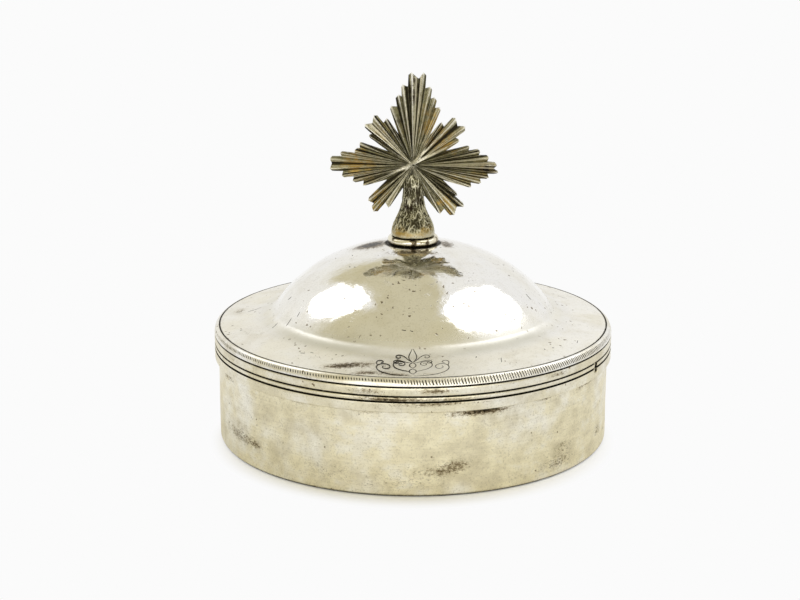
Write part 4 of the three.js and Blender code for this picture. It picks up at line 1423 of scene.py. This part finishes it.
# %% Stem
STEM_GOLD = [(-5, 2.2, 3, 1.6, 0.8), (4.5, 3, 3, 1.6, 0.6), (0, 1.2, 6, 0.8, 0.4)]
STEM_DARK = [(-1.5, 10.5, 2, 2.2, 1.3), (3, 13, 3, 3, 0.6), (0, 17, 4, 4, 0.7)]
foot_round = np.sqrt(np.clip(1 - (1 - portion(height, 0.5)) ** 2, 0, 1)) * 0.5 - 0.5
wide = stem_wide + foot_round - bark_depth * np.clip(1.4 - height / 24, 0, 1)
stem_grid = around(np.maximum(wide, 0.05), stem_angles, height + STEM_FOOT)
stem_grid[..., 1] *= stem_half(height, STEM_NECK_DEPTH) / np.maximum(stem_wide, 1e-6)
stem = capped_piece(
    "cross_stem", stem_grid, [(0, 0, STEM_FOOT), (0, 0, STEM_FOOT + STEM_HEIGHT)],
    crest=0.68 * bark * rough_part + (1 - rough_part) * 0.55,
    gold=patches(stem_grid[..., 0], height, STEM_GOLD),
    dark=patches(stem_grid[..., 0], height, STEM_DARK),
    lines=((1 - bark) * 0.75 - 0.1) * rough_part,
    across=np.broadcast_to(stem_angles * 14, bark.shape),
    along=np.broadcast_to(height * 0.3, bark.shape),
)
finish(stem, "lid", "tarnished_silver", CAST_SILVER, "cross_finial")

# %% [markdown]
# ## Studio
#
# The photograph was taken in a white studio: a pale floor that runs up into the background, two
# large soft lights left and right, and the duller room in front. Polished silver shows all of
# that, so the scene has the same parts. The floor is matt paper under the box, and turns into
# plain light away from it, so that neither the camera nor a mirror image finds its end.

# %% Floor
FLOOR_SIZE = 6.0
WHITE = (0.965, 0.965, 0.965)
bpy.ops.mesh.primitive_plane_add(size=FLOOR_SIZE, location=(0, 0, 0))
floor = bpy.context.object
floor.name = "floor"
floor_paper = bpy.data.materials.new("floor_paper")
t = Tree(floor_paper)
paper = t.nodes["Principled BSDF"]
t.put(paper.inputs["Base Color"], (0.94, 0.955, 1.0))
t.put(paper.inputs["Roughness"], 0.9)
t.put(paper.inputs["Specular IOR Level"], 0.0)
place = t.vector("ADD", t.node("ShaderNodeTexCoord", output=3), (0.0, 0.008, 0.0))
from_box = t.node("ShaderNodeVectorMath", {0: place}, output=1, operation="LENGTH")
seen = t.node("ShaderNodeLightPath")
mirrored = t.times(t.ramp(from_box, 0.06, 0.19), seen.node.outputs["Is Glossy Ray"])
fade = t.math("MAXIMUM", t.times(t.ramp(from_box, 0.060, 0.072), seen), mirrored)
plain = t.node("ShaderNodeEmission", {0: WHITE})
both = t.node("ShaderNodeMixShader", {0: fade, 1: paper.outputs[0], 2: plain})
t.put(t.nodes["Material Output"].inputs[0], both)
floor.data.materials.append(floor_paper)
print(f"floor: {FLOOR_SIZE} m wide, {len(t.nodes)} nodes")

# %% [markdown]
# The two soft lights give the dome its bright patches. What counts for a mirror is the direction
# in which a light stands, and hardly its distance. So each light is given by the directions of
# its two ends, as the box sees them, and they were moved until the patches lay in their place.

# %% Soft lights
LAMP_DISTANCE = 0.75
LAMP_RADIANCE = 1.2
LAMP_AIM = Vector((0, 0, 0.05))


def overhead(right, front):
    """Direction from its place in degrees from straight overhead, to the right and to the front."""
    turn, lean = math.atan2(right, front), math.radians(math.hypot(right, front))
    return Vector((math.sin(turn) * math.sin(lean), -math.cos(turn) * math.sin(lean), math.cos(lean)))


def soft_light(name, back_end, front_end, wide):
    """An oval lamp from one direction to another, and so many degrees wide, as the box sees it."""
    back, front = overhead(*back_end), overhead(*front_end)
    way = (back + front).normalized()
    along = (back - front).normalized()
    data = bpy.data.lights.new(name, "AREA")
    data.shape = "ELLIPSE"
    data.size = 2 * LAMP_DISTANCE * math.tan(math.radians(wide / 2))
    data.size_y = 2 * LAMP_DISTANCE * math.tan(back.angle(front) / 2)
    data.energy = LAMP_RADIANCE * math.pi * data.size * data.size_y * math.pi / 4
    lamp = bpy.data.objects.new(name, data)
    axes = Matrix((along.cross(way), along, way)).transposed()
    lamp.matrix_world = Matrix.Translation(way * LAMP_DISTANCE + LAMP_AIM) @ axes.to_4x4()
    lamp.visible_camera = False
    bpy.context.scene.collection.objects.link(lamp)
    print(f"{name}: {data.size:.2f} x {data.size_y:.2f} m, {data.energy:.2f} W")


soft_light("left_light", (-51, -33), (-25, -1), 29)
soft_light("right_light", (52, -33), (23, 16), 38)

# %% [markdown]
# The room round the box is seen only in the silver, and the camera sees plain white. It is
# drawn by angles from overhead, because only a few broad areas can be told in the dome: pale
# surroundings, a duller strip between the lights, the duller room from overhead to the front,
# and a bright area low in front, which lights the wall.

# %% World
ROOM_BROWN = (0.64, 0.59, 0.41)
PALE_ABOVE = (0.92, 0.915, 0.90)
PALE_ASIDE = (0.97, 0.96, 0.93)
LOW_FRONT = (2.3, 2.26, 2.12)
world = bpy.data.worlds.new("studio")
bpy.context.scene.world = world
t = Tree(world)
way = t.node("ShaderNodeSeparateXYZ", {0: t.node("ShaderNodeTexCoord", output=0)})
to_front = t.times(way.node.outputs[1], -1.0)
upwards = way.node.outputs[2]
# Degrees from overhead, to the right and to the front.
lean = t.times(t.math("ARCCOSINE", upwards), 180 / math.pi)
level = t.math("MAXIMUM", t.math("SQRT", t.minus(1.0, t.times(upwards, upwards))), 0.001)
right = t.math("DIVIDE", t.times(lean, way), level)
front = t.math("DIVIDE", t.times(lean, to_front), level)
shifted = t.times(t.ramp(t.times(front, -1.0), 10.0, 50.0), 14.0)
across = t.math("ABSOLUTE", t.plus(t.plus(right, 2.0), shifted))
strip = t.times(t.ramp(front, -58.0, -44.0), t.minus(1.0, t.ramp(across, 13.0, 20.0)))
ahead = t.minus(front, t.times(right, 0.25))
room = t.math("MAXIMUM", strip, t.ramp(ahead, 0.0, 12.0))
surround = t.blend(t.ramp(t.math("ABSOLUTE", right), 44.0, 60.0), PALE_ABOVE, PALE_ASIDE)
surround = t.blend(room, surround, ROOM_BROWN)
surround = t.blend(t.ramp(front, 54.0, 68.0), surround, LOW_FRONT)
surround = t.blend(t.node("ShaderNodeLightPath"), surround, WHITE)
t.put(t.nodes["Background"].inputs["Color"], surround)
print("world:", len(t.nodes), "nodes")

# %% [markdown]
# ## Camera
#
# The camera's place was found by laying the rim, the foot and the dome over the photograph
# until they matched. It looks down at the box by about sixteen degrees from 650 mm away.

# %% Camera and colour
CAMERA_PLACE = (0.0, -623.44, 218.91)
CAMERA_AIM = (-4.538, 0.0, 47.301)
SENSOR_WIDTH = 36.0
LENS = 82.391
data = bpy.data.cameras.new("camera")
data.sensor_width = SENSOR_WIDTH
data.lens = LENS
camera = bpy.data.objects.new("camera", data)
camera.location = Vector(CAMERA_PLACE) * MM
aim = Vector(CAMERA_AIM) * MM - camera.location
camera.rotation_euler = aim.to_track_quat("-Z", "Y").to_euler()
bpy.context.scene.collection.objects.link(camera)
bpy.context.scene.camera = camera
bpy.context.scene.view_settings.view_transform = "Standard"
print("camera at", tuple(round(v, 4) for v in camera.location))

# %% [markdown]
# ## Compare
# The new surfaces stand for the packed ones, so they have to fill the same box.
